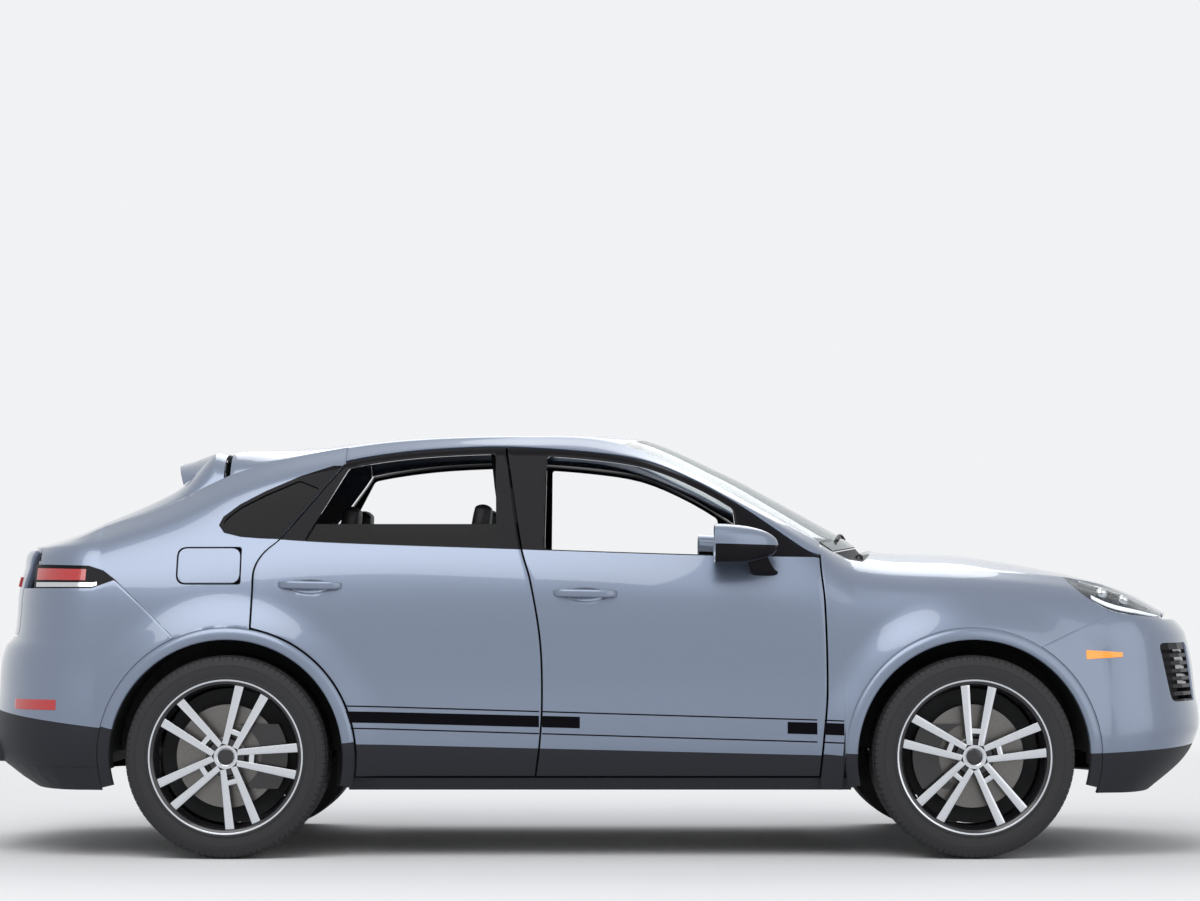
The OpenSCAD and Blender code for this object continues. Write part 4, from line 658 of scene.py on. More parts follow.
def block(low, high):
    bm = bmesh.new()
    box(bm, low, high)
    return loose("cutter", bm)


# Doors

def rear_door_rear(z):
    arc = X_RA + np.sqrt(np.maximum((TRIM_R + SHUT_GAP) ** 2 - (z - WHEEL_R) ** 2, 0))
    return np.where(z < REAR_SHUT_Z0, arc, REAR_SHUT(z))


def rear_door_front(z):
    return MIDDLE_SHUT(z) - SHUT_GAP / 2


def front_door_rear(z):
    return MIDDLE_SHUT(z) + SHUT_GAP / 2


def window_outline(x_rear, x_front, rake_rear, rake_front, drop):
    """Outline of a door's window, between the window line and the frame under the door's top."""
    xs = np.linspace(x_front + rake_front, x_rear + rake_rear, 14)
    top = [(x, float(DOOR_TOP(x)) - drop) for x in xs]
    low = [(x, float(BELT(x)) + 4) for x in np.linspace(x_rear, x_front, 8)]
    return low + top


FRONT_WINDOW = window_outline(X_FA - 1663, X_FA - 905, 6, -22, 27)
REAR_WINDOW = window_outline(X_RA + 290, X_RA + 1042, 165, -8, 27)
DOORS = {
    "front": dict(rear=front_door_rear, front=FRONT_SHUT, top=(X_RA + 1079, X_FA - 590), belt=(1195, 1166),
                  window=FRONT_WINDOW, axis_x=X_FA - 645, handle=(X_RA + 1390, 1024)),
    "rear": dict(rear=rear_door_rear, front=rear_door_front, top=(X_RA + 443, X_RA + 1071),
                 belt=(1234, 1196), window=REAR_WINDOW, axis_x=X_RA + 1143, handle=(X_RA + 320, 1056)),
}
DOOR_ROWS = (6, 44, 22)
DOOR_COLUMNS = 60
FRAME_LOW_Z = 1170
WINDOW_CORNER = 14
HINGE_ZS = (480, 830)
HINGE_POCKET_H = 70
HINGE_POCKET_X = (-21, 120)
HINGE_POCKET_Y = (-140, 20)
CLADDING_LINE = ([-970, 870], [443, 398])
CLADDING_PROBE_Z = 420.0


def cladding_z(x):
    return np.interp(x, *CLADDING_LINE)


def door_place(shape, inset, inner):
    """Point of a door by column and row: cladding, painted panel and window frame in turn."""
    n1, n2, n3 = DOOR_ROWS
    rear, front = shape["rear"], shape["front"]
    top_rear, top_front = shape["top"]
    belt_rear, belt_front = shape["belt"]

    def depth(z):
        return np.interp(z, [1120, 1170], [DOOR_T, FRAME_T]) if inner else np.zeros_like(z)

    def place(i, j):
        u = i / DOOR_COLUMNS
        t1 = np.clip(j / n1, 0, 1)
        t2 = np.clip((j - n1) / n2, 0, 1)
        t3 = np.clip((j - n1 - n2) / n3, 0, 1)
        z0 = DOOR_BOTTOM + inset
        x_top = mix(top_rear + inset, top_front - inset, u)
        z_top = DOOR_TOP(x_top) - inset
        z_rear = float(DOOR_TOP(top_rear + inset)) - inset
        z_front = float(DOOR_TOP(top_front - inset)) - inset
        low_rear = min(belt_rear, z_rear - 6)
        low_front = min(belt_front, z_front - 6)
        zb = np.minimum(BELT(mix(rear(belt_rear), front(belt_front), u)), z_top - 6)

        def level(clad, belt, top):
            return np.where(j <= n1, mix(z0, clad, t1),
                            np.where(j <= n1 + n2, mix(clad, belt, t2), mix(belt, top, t3)))

        clad_rear = float(cladding_z(rear(CLADDING_PROBE_Z)))
        clad_front = float(cladding_z(front(CLADDING_PROBE_Z)))
        z = level(mix(clad_rear, clad_front, u), zb, z_top)
        at_rear = level(clad_rear, low_rear, z_rear)
        at_front = level(clad_front, low_front, z_front)
        x = mix(rear(at_rear) + inset, front(at_front) - inset, u)
        return on_side(x, z, depth(z))

    return place


def dish(x, z, side):
    """Shallow hollow behind a door handle."""
    bm = bmesh.new()
    made = bmesh.ops.create_uvsphere(bm, u_segments=40, v_segments=20, radius=1.0)["verts"]
    bmesh.ops.scale(bm, verts=made, vec=(0.08, 0.022, 0.033))
    bmesh.ops.translate(bm, verts=made, vec=(x * MM, side * (float(side_y(x, z)) + 9) * MM, (z - 4) * MM))
    return loose("cutter", bm)


def build_doors():
    n1, n2 = DOOR_ROWS[:2]
    for end, shape in DOORS.items():
        for name, side in SIDES:
            bm = bmesh.new()
            outer = grid(bm, DOOR_COLUMNS, sum(DOOR_ROWS), door_place(shape, 0, False), side)
            for k, face in enumerate(outer):
                row = k // DOOR_COLUMNS
                face.material_index = 2 if row < n1 else 0 if row < n1 + n2 else 1
            inner = grid(bm, DOOR_COLUMNS, sum(DOOR_ROWS), door_place(shape, DOOR_DRAFT, True), side)
            bmesh.ops.reverse_faces(bm, faces=inner)
            for k, face in enumerate(inner):
                face.material_index = 3 if k // DOOR_COLUMNS < n1 + n2 else 1
            loops = [e for e in bm.edges if e.is_boundary]
            made = bmesh.ops.bridge_loops(bm, edges=loops)["faces"]
            for face in made:
                face.material_index = 0 if face.calc_center_median().z < FRAME_LOW_Z * MM else 1
            bmesh.ops.recalc_face_normals(bm, faces=bm.faces)
            axis_x = shape["axis_x"]
            axis_y = hinge_y(f"open_{end}_door_{name}")
            y_low, y_high = sorted(side * (axis_y + reach) for reach in HINGE_POCKET_Y)
            pockets = [block((axis_x + HINGE_POCKET_X[0], y_low, z),
                             (axis_x + HINGE_POCKET_X[1], y_high, z + HINGE_POCKET_H))
                       for z in HINGE_ZS]
            window = prism(rounded(shape["window"], WINDOW_CORNER), side)
            piece(f"door_skin_{end}_{name}", bm, f"{end}_door_{name}",
                  finish("paint", "gloss", "cladding", "leather"), "paint", bevel=2.5,
                  cutters=[window, *pockets, dish(*shape["handle"], side)], replaces=[f"door_{end}_{name}"])


def hinge_y(joint):
    """Distance of a door's hinge axis from the middle, in millimetres."""
    found = [j for j in frame["joints"] if j["name"] == joint][0]
    return abs(found["pos_m"][1]) / MM


# Fixed side panels

def along(points, step):
    """Points along a polyline, no further apart than step."""
    done = [points[0]]
    for a, b in zip(points, points[1:]):
        count = max(1, math.ceil(math.hypot(b[0] - a[0], b[1] - a[1]) / step))
        done += [(mix(a[0], b[0], k / count), mix(a[1], b[1], k / count)) for k in range(1, count + 1)]
    return np.array(done)


LAMP_TIP_X = X_RA - 447
TAIL_LAMP_LOW = 1045.0
TAIL_LAMP_HIGH = 1138.0
QUARTER_END_X = X_TAIL + 265
LAMP_HIGH = ([QUARTER_END_X, LAMP_TIP_X - 106, LAMP_TIP_X - 46, LAMP_TIP_X],
             [TAIL_LAMP_HIGH, 1132, 1113, 1079])
REAR_SPLIT_X = X_RA - (TRIM_R + SEAM) * math.sin(math.radians(24))
FRONT_SPLIT_X = X_FA + (TRIM_R + SEAM) * math.sin(math.radians(32))
FENDER_TIP_X = X_NOSE - 465


def arch_z(x, axle_x):
    return WHEEL_R + math.sqrt(max((TRIM_R + SEAM) ** 2 - (x - axle_x) ** 2, 0))


def quarter_columns():
    """Lower edge of a quarter and the place of each of its points on the upper edge."""
    low = [(x, z + SEAM) for x, z in zip(*LAMP_HIGH)] + [(REAR_SPLIT_X, arch_z(REAR_SPLIT_X, X_RA))]
    foot_x = REAR_SHUT_ROWS[0][1] - SHUT_GAP - 1
    low += [(x, arch_z(x, X_RA)) for x in np.linspace(REAR_SPLIT_X, foot_x, 24)[1:]]
    shut = [(float(REAR_SHUT(z)) - SHUT_GAP, z) for z in np.linspace(REAR_SHUT_Z0, 1545, 40)]
    lower = along(low + shut, 14)
    steps = np.hypot(*np.diff(lower, axis=0).T)
    share = np.concatenate([[0], np.cumsum(steps)]) / np.sum(steps)
    return lower, mix(lower[0, 0], lower[-1, 0], share)


QUARTER_GLASS = rounded([(X_RA + 186, 1252), (X_RA + 345, 1436), (X_RA + 262, 1470), (X_RA + 130, 1412),
                         (X_RA + 31, 1360), (X_RA - 20, 1318), (X_RA - 32, 1298), (X_RA - 14, 1278),
                         (X_RA + 40, 1262)], 12)
DLO_REAR = [(X_RA + 392, 1530), (X_RA + 267, 1489), (X_RA + 130, 1428), (X_RA + 31, 1375), (X_RA - 33, 1325),
            (X_RA - 48, 1292), (X_RA - 26, 1262), (X_RA + 40, 1246), (X_RA + 110, 1240), (X_RA + 186, 1237)]


def build_quarters():
    lower, upper_x = quarter_columns()
    n = len(lower) - 1
    rows = 44

    def place(i, j):
        t = j / rows
        return on_side(mix(lower[i, 0], upper_x[i], t), mix(lower[i, 1], edge_z(upper_x[i]), t))

    def surround(i, j):
        x = mix(X_RA - 70, X_RA + 440, i / 60)
        return on_side(x, mix(1225, 1545, j / 40), -1.5)

    def pane(i, j):
        x = mix(X_RA - 50, X_RA + 370, i / 30)
        return on_side(x, mix(1240, 1480, j / 24), 5)

    shut = [(float(REAR_SHUT(z)) - SHUT_GAP - 1, z) for z in np.linspace(1237, 1530, 12)]
    for name, side in SIDES:
        bm = bmesh.new()
        grid(bm, n, rows, place, side)
        cutters = [prism(QUARTER_GLASS, side)]
        if side < 0:
            cutters.append(prism(FLAP_HOLE, side))
        piece(f"quarter_skin_{name}", bm, "body", finish("paint"), "paint", wall=8, bevel=2, cutters=cutters,
              replaces=[f"quarter_{name}"])
        panel(f"quarter_surround_{name}", (60, 40, surround, side), "body", finish("gloss"), "dark_trim",
              wall=3, kept=[prism(DLO_REAR + shut, side)], cutters=[prism(QUARTER_GLASS, side)])
        panel(f"quarter_pane_{name}", (30, 24, pane, side), "body", finish("tint"), "window", wall=4,
              kept=[prism(QUARTER_GLASS, side)],
              replaces=on_left(side, "quarter_glass"))


FLAP = (X_RA - 200, X_RA + 43, 1064.0, 1200.0)
FLAP_FRAME = [(FLAP[0] - 6, FLAP[2] - 6), (FLAP[1] + 6, FLAP[2] - 6), (FLAP[1] + 6, FLAP[3] + 6),
              (FLAP[0] - 6, FLAP[3] + 6)]
FLAP_WIDE = rounded(FLAP_FRAME, 40, 8)
FLAP_TIGHT = rounded(FLAP_FRAME, 14, 8)
FLAP_CORNER = len(FLAP_WIDE) // 4
FLAP_HOLE = FLAP_WIDE[:FLAP_CORNER] + FLAP_TIGHT[FLAP_CORNER:3 * FLAP_CORNER] + FLAP_WIDE[3 * FLAP_CORNER:]
FLAP_EDGE = rounded([(FLAP[0], FLAP[2]), (FLAP[1], FLAP[2]), (FLAP[1], FLAP[3]), (FLAP[0], FLAP[3])], 36, 8)


def build_fuel_flap():
    def lid(i, j):
        return on_side(mix(FLAP[0] - 4, FLAP[1] + 4, i / 30), mix(FLAP[2] - 4, FLAP[3] + 4, j / 20))

    def pocket(i, j):
        return on_side(mix(FLAP[0] - 20, FLAP[1] + 20, i / 10), mix(FLAP[2] - 20, FLAP[3] + 20, j / 8), 40)

    panel("fuel_lid", (30, 20, lid, -1), "fuel_flap", finish("paint"), "paint", wall=7, bevel=1.5,
          kept=[prism(FLAP_EDGE, -1)], replaces=["fuel_flap"])
    panel("fuel_pocket", (10, 8, pocket, -1), "body", finish("cladding"), "dark_trim", wall=3)


def build_fenders():
    back_z = 264.0
    arch_back = X_FA - TRIM_R - SEAM - 1
    low = [(x, arch_z(x, X_FA)) for x in np.linspace(arch_back + 1, FRONT_SPLIT_X, 60)]
    low += [(FENDER_TIP_X, 940)]
    columns = along(low, 14)
    first = 10
    n = first + len(columns) - 1
    rows = 48

    def place(i, j):
        ahead = np.maximum(i - first, 0)
        x_col = np.where(i < first, mix(FRONT_SHUT(647.0) + SHUT_GAP, arch_back, np.minimum(i / first, 1)),
                         columns[ahead, 0])
        z_low = np.where(i < first, back_z, columns[ahead, 1])
        z_top = np.where(x_col >= FRONT_END_X - 0.1, LAMP_LOW_LINE(x_col) - SEAM, edge_z(x_col))
        z = mix(z_low, z_top, j / rows)
        bent = mix(FRONT_SHUT(z) + SHUT_GAP, arch_back, np.minimum(i / first, 1))
        return on_side(np.where(i < first, bent, x_col), z)

    for name, side in SIDES:
        bm = bmesh.new()
        for k, face in enumerate(grid(bm, n, rows, place, side)):
            face.material_index = 1 if k % n < first and k // n < 7 else 0
        piece(f"fender_skin_{name}", bm, "body", finish("paint", "cladding"), "paint", wall=5, bevel=1.5,
              replaces=[f"fender_{name}"])


def build_rails():
    n, rows = 110, 8

    def place(i, j):
        x = mix(X_RA + 447 - SHUT_GAP + SEAM, X_FA - 590 + SHUT_GAP - SEAM, i / n)
        top = edge_z(x)
        low = np.minimum(DOOR_TOP(x) + SHUT_GAP, top - 10)
        return on_side(x, mix(low, top, j / rows))

    for name, side in SIDES:
        panel(f"rail_skin_{name}", (n, rows, place, side), "body", finish("paint"), "paint", wall=12,
              bevel=1.5, replaces=on_left(side, "roof_rails"))


TRIM_PROFILE = [(ARCH_R, 26), (ARCH_R, 2), (ARCH_R + 3, -1.5), (ARCH_R + 9, -4.5), (ARCH_R + 20, -6),
                (ARCH_R + 33, -5.5), (ARCH_R + 43, -3.5), (TRIM_R, 1.5)]


def build_arch_trims():
    steps = 120
    radii = np.array([row[0] for row in TRIM_PROFILE])
    depths = np.array([row[1] for row in TRIM_PROFILE])
    for end, axle_x, ahead, behind in (("front", X_FA, 2, 178), ("rear", X_RA, 6, 166)):
        def place(i, j):
            turn = np.radians(-14 + 208 * i / steps)
            return on_side(axle_x + radii[j] * np.cos(turn), WHEEL_R + radii[j] * np.sin(turn), depths[j])

        for name, side in SIDES:
            bm = bmesh.new()
            for k, face in enumerate(grid(bm, steps, len(TRIM_PROFILE) - 1, place, side)):
                turn = -14 + 208 * (k % steps + 0.5) / steps
                face.material_index = 0 if ahead < turn < behind else 1
            piece(f"arch_trim_{end}_{name}", bm, "body", finish("paint", "cladding"), "paint", wall=4,
                  sharp=50, replaces=["arch_trims"] if end == "front" and side > 0 else [])


def build_liner_flanges():
    """Inner edges that close the wheel liners against the body sides, and plates behind the front liners."""
    for end, axle_x, first, last, outer in (("front", X_FA, -4, 184, TRIM_R + 20),
                                            ("rear", X_RA, 82, 186, TRIM_R + 34)):
        def place(i, j):
            turn = np.radians(mix(first, last, i / 60))
            r = np.where(j < 2, ARCH_R + 4, outer)
            return on_side(axle_x + r * np.cos(turn), WHEEL_R + r * np.sin(turn), np.where(j < 1, 130, 34))

        for name, side in SIDES:
            panel(f"liner_flange_{end}_{name}", (60, 2, place, side), "body", finish("underbody"),
                  "dark_trim", wall=3)

    def plate(i, j):
        z = mix(480, 1060, j / 16)
        x = np.full_like(z, X_FA - 512)
        return np.stack([x, mix(560, side_y(x, z) - 14, i / 8), z], -1)

    for name, side in SIDES:
        panel(f"scuttle_side_{name}", (8, 16, plate, side), "body", finish("underbody"), "dark_trim", wall=4)


# Top surfaces

def crown(n, m, x0, x1, form, inset, drop=0.0):
    """Counts and place of a grid on a top surface."""
    def place(i, j):
        point = crowned(2 * i / n - 1, mix(x0, x1, j / m), form, inset)
        return point - np.array([0, 0, drop])

    return n, m, place


def build_roof():
    panel("roof_skin", crown(60, 60, ROOF_REAR_X, HEADER_X, ROOF_FORM, 2), "body", finish("paint"), "paint",
          wall=12, bevel=1.5, replaces=["roof"])
    panel("windshield_pane", crown(60, 40, HEADER_X + 1, COWL_X, SCREEN_FORM, 2), "body", finish("screen"),
          "window", wall=5, replaces=["windshield"])


def build_hood():
    panel("hood_skin", crown(70, 80, HOOD_REAR_X, HOOD_FRONT_X, HOOD_FORM, SHUT_GAP), "hood",
          finish("paint"), "paint", wall=22, bevel=2, replaces=["hood"])
    panel("hood_seal", crown(60, 8, HOOD_FRONT_X - 60, HOOD_FRONT_X + 26, HOOD_FORM, SHUT_GAP + 20, 34),
          "body", finish("cladding"), "dark_trim", wall=4)


REAR_WINDOW_PLAN = rounded([(ROOF_REAR_X - 212, -470), (ROOF_REAR_X - 212, 470), (X_TAIL + 400, 560),
                            (X_TAIL + 330, 300), (X_TAIL + 330, -300), (X_TAIL + 400, -560)], 40, 6)
GATE_HALF_W = 624.0
LIGHT_BAR_Z = (1052.0, 1092.0)


def build_tailgate():
    panel("gate_upper", crown(70, 70, GATE_FRONT_X, GATE_REAR_X, GATE_FORM, SHUT_GAP), "tailgate",
          finish("paint"), "paint", wall=30, bevel=2, cutters=[upright(REAR_WINDOW_PLAN)])
    panel("rear_pane", crown(60, 60, GATE_FRONT_X, GATE_REAR_X, GATE_FORM, SHUT_GAP, 3), "tailgate",
          finish("tint"), "window", wall=5, replaces=["rear_glass"], kept=[upright(REAR_WINDOW_PLAN)])

    def lower(i, j):
        y = mix(-GATE_HALF_W, GATE_HALF_W, i / 60)
        z = mix(852 + SHUT_GAP, 1196, j / 40)
        return np.stack([tail_x(y, z), y, z], -1)

    panel("gate_lower", (60, 40, lower), "tailgate", finish("paint"), "paint", wall=30, bevel=2,
          replaces=["tailgate"])


# Bumpers and lamps

NOSE_SIDE = 14
NOSE_TURN = 110
ARCH_LEAVE_Z = arch_z(FRONT_SPLIT_X, X_FA)
INTAKE_DEPTH = 60
INTAKES = [((-500, 400), (500, 560)), ((560, 600), (800, 830)), ((-800, 600), (-560, 830))]


def wrap_columns(i, z, depth, axle_x, start_x, line, leave_z, way):
    """Point of a bumper: columns run from the left arch round the end of the body to the right arch."""
    a, n = NOSE_SIDE, NOSE_TURN
    back = axle_x + way * np.sqrt((TRIM_R + 1.6) ** 2 - (np.minimum(z, leave_z) - WHEEL_R) ** 2)
    left = on_side(mix(back, start_x, np.clip(i / a, 0, 1)), z, depth)
    right = on_side(mix(back, start_x, np.clip((2 * a + n - i) / a, 0, 1)), z, depth) * np.array([1, -1, 1])
    middle = on_end(start_x, line, 180 * np.clip((i - a) / n, 0, 1), z, depth)
    return np.where((i < a)[:, None], left, np.where((i > a + n)[:, None], right, middle))


def nose_point(i, z, depth=0.0):
    return wrap_columns(i, z, depth, X_FA, NOSE_START_X, NOSE_LINE, ARCH_LEAVE_Z, 1)


def tail_point(i, z, depth=0.0):
    return wrap_columns(i, z, depth, X_RA, REAR_END_X, TAIL_LINE, arch_z(REAR_SPLIT_X, X_RA), -1)


def nose_top(x):
    split = np.interp(x, [FRONT_SPLIT_X, FENDER_TIP_X], [ARCH_LEAVE_Z, 940])
    top = np.where(x < FENDER_TIP_X, split, np.where(x < X_NOSE - 229, LAMP_LOW_LINE(x), 920 + SEAM))
    return top - SEAM


def tail_top(x):
    return np.interp(x, [LAMP_TIP_X - 90, LAMP_TIP_X, REAR_SPLIT_X],
                     [TAIL_LAMP_LOW, 1077, arch_z(REAR_SPLIT_X, X_RA)]) - SEAM


def bumper_place(point, low, lip, top, rows):
    """Rows from the lower edge over the lip's line to the top edge, which is found along each column."""
    columns = np.arange(2 * NOSE_SIDE + NOSE_TURN + 1)
    high = np.full(len(columns), 800.0)
    for _ in range(8):
        high = top(point(columns, high)[:, 0])
    line = lip(point(columns, np.full(len(columns), 450.0))[:, 0])

    def place(i, j):
        under = mix(low, line[i], np.clip(j / rows[0], 0, 1))
        over = mix(line[i], high[i], np.clip((j - rows[0]) / rows[1], 0, 1))
        return point(i, np.where(j <= rows[0], under, over))

    return place


def two_zones(faces, columns, rows, under, over):
    for k, face in enumerate(faces):
        face.material_index = under if k // columns < rows else over


def rectangle(low, high, radius):
    return rounded([low, (high[0], low[1]), high, (low[0], high[1])], radius, 6)


PIPES = [(y, 402.0) for y in (450, 560, -450, -560)]
PIPE_HOLE_R = 54.0


def round_outline(y, z, r, n=32):
    return [(y + r * math.cos(2 * math.pi * k / n), z + r * math.sin(2 * math.pi * k / n)) for k in range(n)]


def build_front_bumper():
    columns = 2 * NOSE_SIDE + NOSE_TURN
    rows = (12, 42)

    def lip(x):
        return np.interp(x, [X_FA + 500, X_NOSE - 20], [405, 430])

    bm = bmesh.new()
    faces = grid(bm, columns, sum(rows), bumper_place(nose_point, 250, lip, nose_top, rows))
    two_zones(faces, columns, rows[0], 1, 0)
    cutters = [frontal(rectangle(low, high, 26), X_FA + 430, X_NOSE + 100) for low, high in INTAKES]
    piece("front_bumper_skin", bm, "body", finish("paint", "cladding"), "paint", wall=12, bevel=2.5,
          cutters=cutters, replaces=["front_bumper"])
    for number, (low, high) in enumerate(INTAKES):
        def backing(i, j):
            y = mix(low[0] - 20, high[0] + 20, i / 24)
            z = mix(low[1] - 20, high[1] + 20, j / 8)
            return np.stack([end_x(NOSE_START_X, NOSE_LINE, y, z) - INTAKE_DEPTH, y, z], -1)

        panel(f"intake_backing_{number}", (24, 8, backing), "body", finish("underbody"), "dark_trim", wall=4)


def build_rear_bumper():
    columns = 2 * NOSE_SIDE + NOSE_TURN
    rows = (16, 40)

    def lip(x):
        return np.interp(x, [X_TAIL, X_RA - 500], [572, 505])

    bm = bmesh.new()
    faces = grid(bm, columns, sum(rows), bumper_place(tail_point, 352, lip, tail_top, rows))
    two_zones(faces, columns, rows[0], 1, 0)
    cutters = [block((X_TAIL - 100, -632, 852), (X_RA, 632, 1200))]
    cutters += [frontal(round_outline(y, z, PIPE_HOLE_R), X_TAIL - 60, X_TAIL + 200) for y, z in PIPES]
    piece("rear_bumper_skin", bm, "body", finish("paint", "cladding"), "paint", wall=12, bevel=2.5,
          cutters=cutters, replaces=["rear_bumper"])

    def strip(i, j):
        return on_side(mix(X_TAIL + 176, X_TAIL + 362, i / 24), mix(572, 612, j / 4), -2)

    def marker(i, j):
        x = mix(X_FA + 446, X_FA + 590, i / 20)
        return on_side(x, 786 + mix(18, 9, i / 20) * (j / 2 - 1), -2)

    for name, side in SIDES:
        # The reflectors take the red lens finish, so they glow faintly: painted light, as a reflector is no
        # lamp
        panel(f"rear_reflector_{name}", (24, 4, strip, side), "body", finish("red"), "lamp_red", wall=5,
              bevel=1.5)
        panel(f"side_marker_{name}", (20, 4, marker, side), "body", finish("amber"), "lamp_clear", wall=5,
              bevel=1.5)
    tip = [(44, 0), (47, 3), (50, 3), (52, 0), (52, 60), (44, 60)]
    for number, (y, z) in enumerate(PIPES):
        bm = bmesh.new()
        points = [((X_TAIL + 6 + x) * MM, y * MM, (z + r) * MM) for r, x in tip]
        spun(bm, points, (0, y * MM, z * MM), (1, 0, 0), 40)
        piece(f"exhaust_tip_{number}", bm, "body", finish("chrome"), "exhaust", sharp=50)


def build_headlamps():
    x0 = FRONT_END_X + 2.5
    x1 = X_NOSE - 231
    n, m = 60, 14

    def place(i, j, depth):
        x = mix(x0, x1, i / n)
        low = LAMP_LOW_LINE(x) + 0.6
        high = edge_z(x) - 0.5
        return on_side(x, mix(low, high, j / m), np.minimum(depth, 0.7 * (high - low)))

    def band(i, j):
        x = mix(x0 + 90, x1 - 14, i / 50)
        low = LAMP_LOW_LINE(x)
        return on_side(x, low + (edge_z(x) - low) * mix(0.13, 0.27, j / 3), 9)

    def brow(i, j):
        x = mix(x0 + 60, x1 - 40, i / 50)
        low = LAMP_LOW_LINE(x)
        return on_side(x, low + (edge_z(x) - low) * mix(0.8, 0.92, j / 3), 7)

    for name, side in SIDES:
        panel(f"headlamp_lens_{name}", (n, m, lambda i, j: place(i, j, 0.0), side), "body", finish("lens"),
              "lamp_clear", wall=2.5, replaces=on_left(side, "headlamps"))
        panel(f"headlamp_housing_{name}", (n, m, lambda i, j: place(i, j, 42.0), side), "body",
              finish("pocket"), "dark_trim", wall=3)
        panel(f"headlamp_guide_{name}", (50, 3, band, side), "body", finish("glow"), "lamp_clear", wall=6,
              bevel=1)
        panel(f"headlamp_brow_{name}", (50, 3, brow, side), "body", finish("chrome"), "lamp_clear", wall=5,
              bevel=1)
        bm = bmesh.new()
        for share, r in ((0.36, 26), (0.58, 24)):
            x = mix(x0, x1, share)
            z = mix(float(LAMP_LOW_LINE(x)), float(edge_z(x)), 0.54)
            at = on_side(x, z, 26) * MM
            made = bmesh.ops.create_uvsphere(bm, u_segments=28, v_segments=14, radius=r * MM)["verts"]
            bmesh.ops.scale(bm, verts=made, vec=(0.9, 0.6, 1))
            bmesh.ops.translate(bm, verts=made, vec=(at[0], side * at[1], at[2]))
        piece(f"headlamp_projectors_{name}", bm, "body", finish("chrome"), "lamp_clear", sharp=60)


def build_tail_lamps():
    x0 = X_TAIL + 240
    x1 = LAMP_TIP_X - 2
    n, m = 60, 20

    def lens(i, j):
        x = mix(x0, x1, i / n)
        low = tail_top(x) + 2 * SEAM
        return on_side(x, mix(low, np.maximum(np.interp(x, *LAMP_HIGH) - SEAM, low + 0.5), j / m), 1)

    for name, side in SIDES:
        bm = bmesh.new()
        for k, face in enumerate(grid(bm, n, m, lens, side)):
            column, row = k % n, k // n
            red = 7 <= row < 17 and 1 < column < 40
            bright = 1 <= row < 5 and 1 < column < 48
            face.material_index = 1 if red else 2 if bright else 0
        piece(f"tail_lens_{name}", bm, "body", finish("gloss", "red", "chrome"), "lamp_red", wall=12,
              replaces=on_left(side, "tail_lamps"))

    def bar(i, j):
        y = mix(-GATE_HALF_W, GATE_HALF_W, mix(1 / 12, 11 / 12, i / 60))
        z = mix(*LIGHT_BAR_Z, j / 6)
        return np.stack([tail_x(y, z) - 8.4, y, z], -1)

    panel("light_bar_lens", (60, 6, bar), "tailgate", finish("red"), "lamp_red", wall=8, bevel=2,
          replaces=["tail_light_bar"])


# Fittings: mirrors, handles, door glass, spoiler, stripes, cowl and wipers

def tube(bm, ring, nu, nv, cap=True):
    """Closed tube of rings: ring(i, j) gives points in millimetres, i round the ring and j along it."""
    verts = bmesh.ops.create_grid(bm, x_segments=nu, y_segments=nv, size=1.0)["verts"]
    i, j = np.meshgrid(np.arange(nu + 1), np.arange(nv + 1))
    for vert, point in zip(verts, ring((i % nu).ravel(), j.ravel()) * MM):
        vert.co = point
    faces = list(dict.fromkeys(face for vert in verts for face in vert.link_faces))
    if cap:
        bm.verts.ensure_lookup_table()
        for row in (0, nv):
            faces.append(bm.faces.new(verts[row * (nu + 1):row * (nu + 1) + nu]))
    bmesh.ops.remove_doubles(bm, verts=verts, dist=1e-6)
    faces = [face for face in faces if face.is_valid]
    bmesh.ops.recalc_face_normals(bm, faces=faces)
    return faces


def super_ring(i, n, half_a, half_b, power=2.6):
    turn = 2 * np.pi * i / n
    c, s = np.cos(turn), np.sin(turn)
    return half_a * np.sign(c) * np.abs(c) ** (2 / power), half_b * np.sign(s) * np.abs(s) ** (2 / power)


def build_mirrors():
    foot_x = X_FA - 800
    foot_z = 1100.0
    wall_y = float(side_y(foot_x, foot_z))
    n, m = 48, 30

    for name, side in SIDES:
        def shell(i, j):
            u = j / m
            full = np.maximum(1 - u ** 2.6, 0.0016) ** 0.5
            a, b = super_ring(i, n, 98 * full, 78 * full, 3.0)
            x = foot_x - 205 + 250 * u
            return np.stack([x, side * (wall_y + 86 - 26 * u + a), 1216 - 6 * u + b], -1)

        bm = bmesh.new()
        faces = tube(bm, shell, n, m)
        for k, face in enumerate(faces):
            face.material_index = 1 if k < n * m and k % n >= n // 2 else 0
        back = min(faces, key=lambda f: f.calc_center_median().x)
        bmesh.ops.inset_region(bm, faces=[back], thickness=0.007, depth=0.0)
        bmesh.ops.inset_region(bm, faces=[back], thickness=0.004, depth=-0.012)
        back.material_index = 2
        piece(f"mirror_shell_{name}", bm, f"front_door_{name}", finish("paint", "gloss", "chrome"), "paint",
              sharp=40, replaces=[f"mirror_{name}"])

        def arm(i, j):
            u = j / 10
            a, b = super_ring(i, 24, mix(52, 40, u), mix(13, 11, u), 3.0)
            y = mix(wall_y - 3, wall_y + 60, u)
            z = foot_z + 4 + 56 * u ** 1.6
            return np.stack([foot_x - 6 - 30 * u + a, side * (y + 0 * a), z + b], -1)

        rod(f"mirror_arm_{name}", (arm, 24, 10), f"front_door_{name}", finish("gloss"), "dark_trim",
            sharp=50)


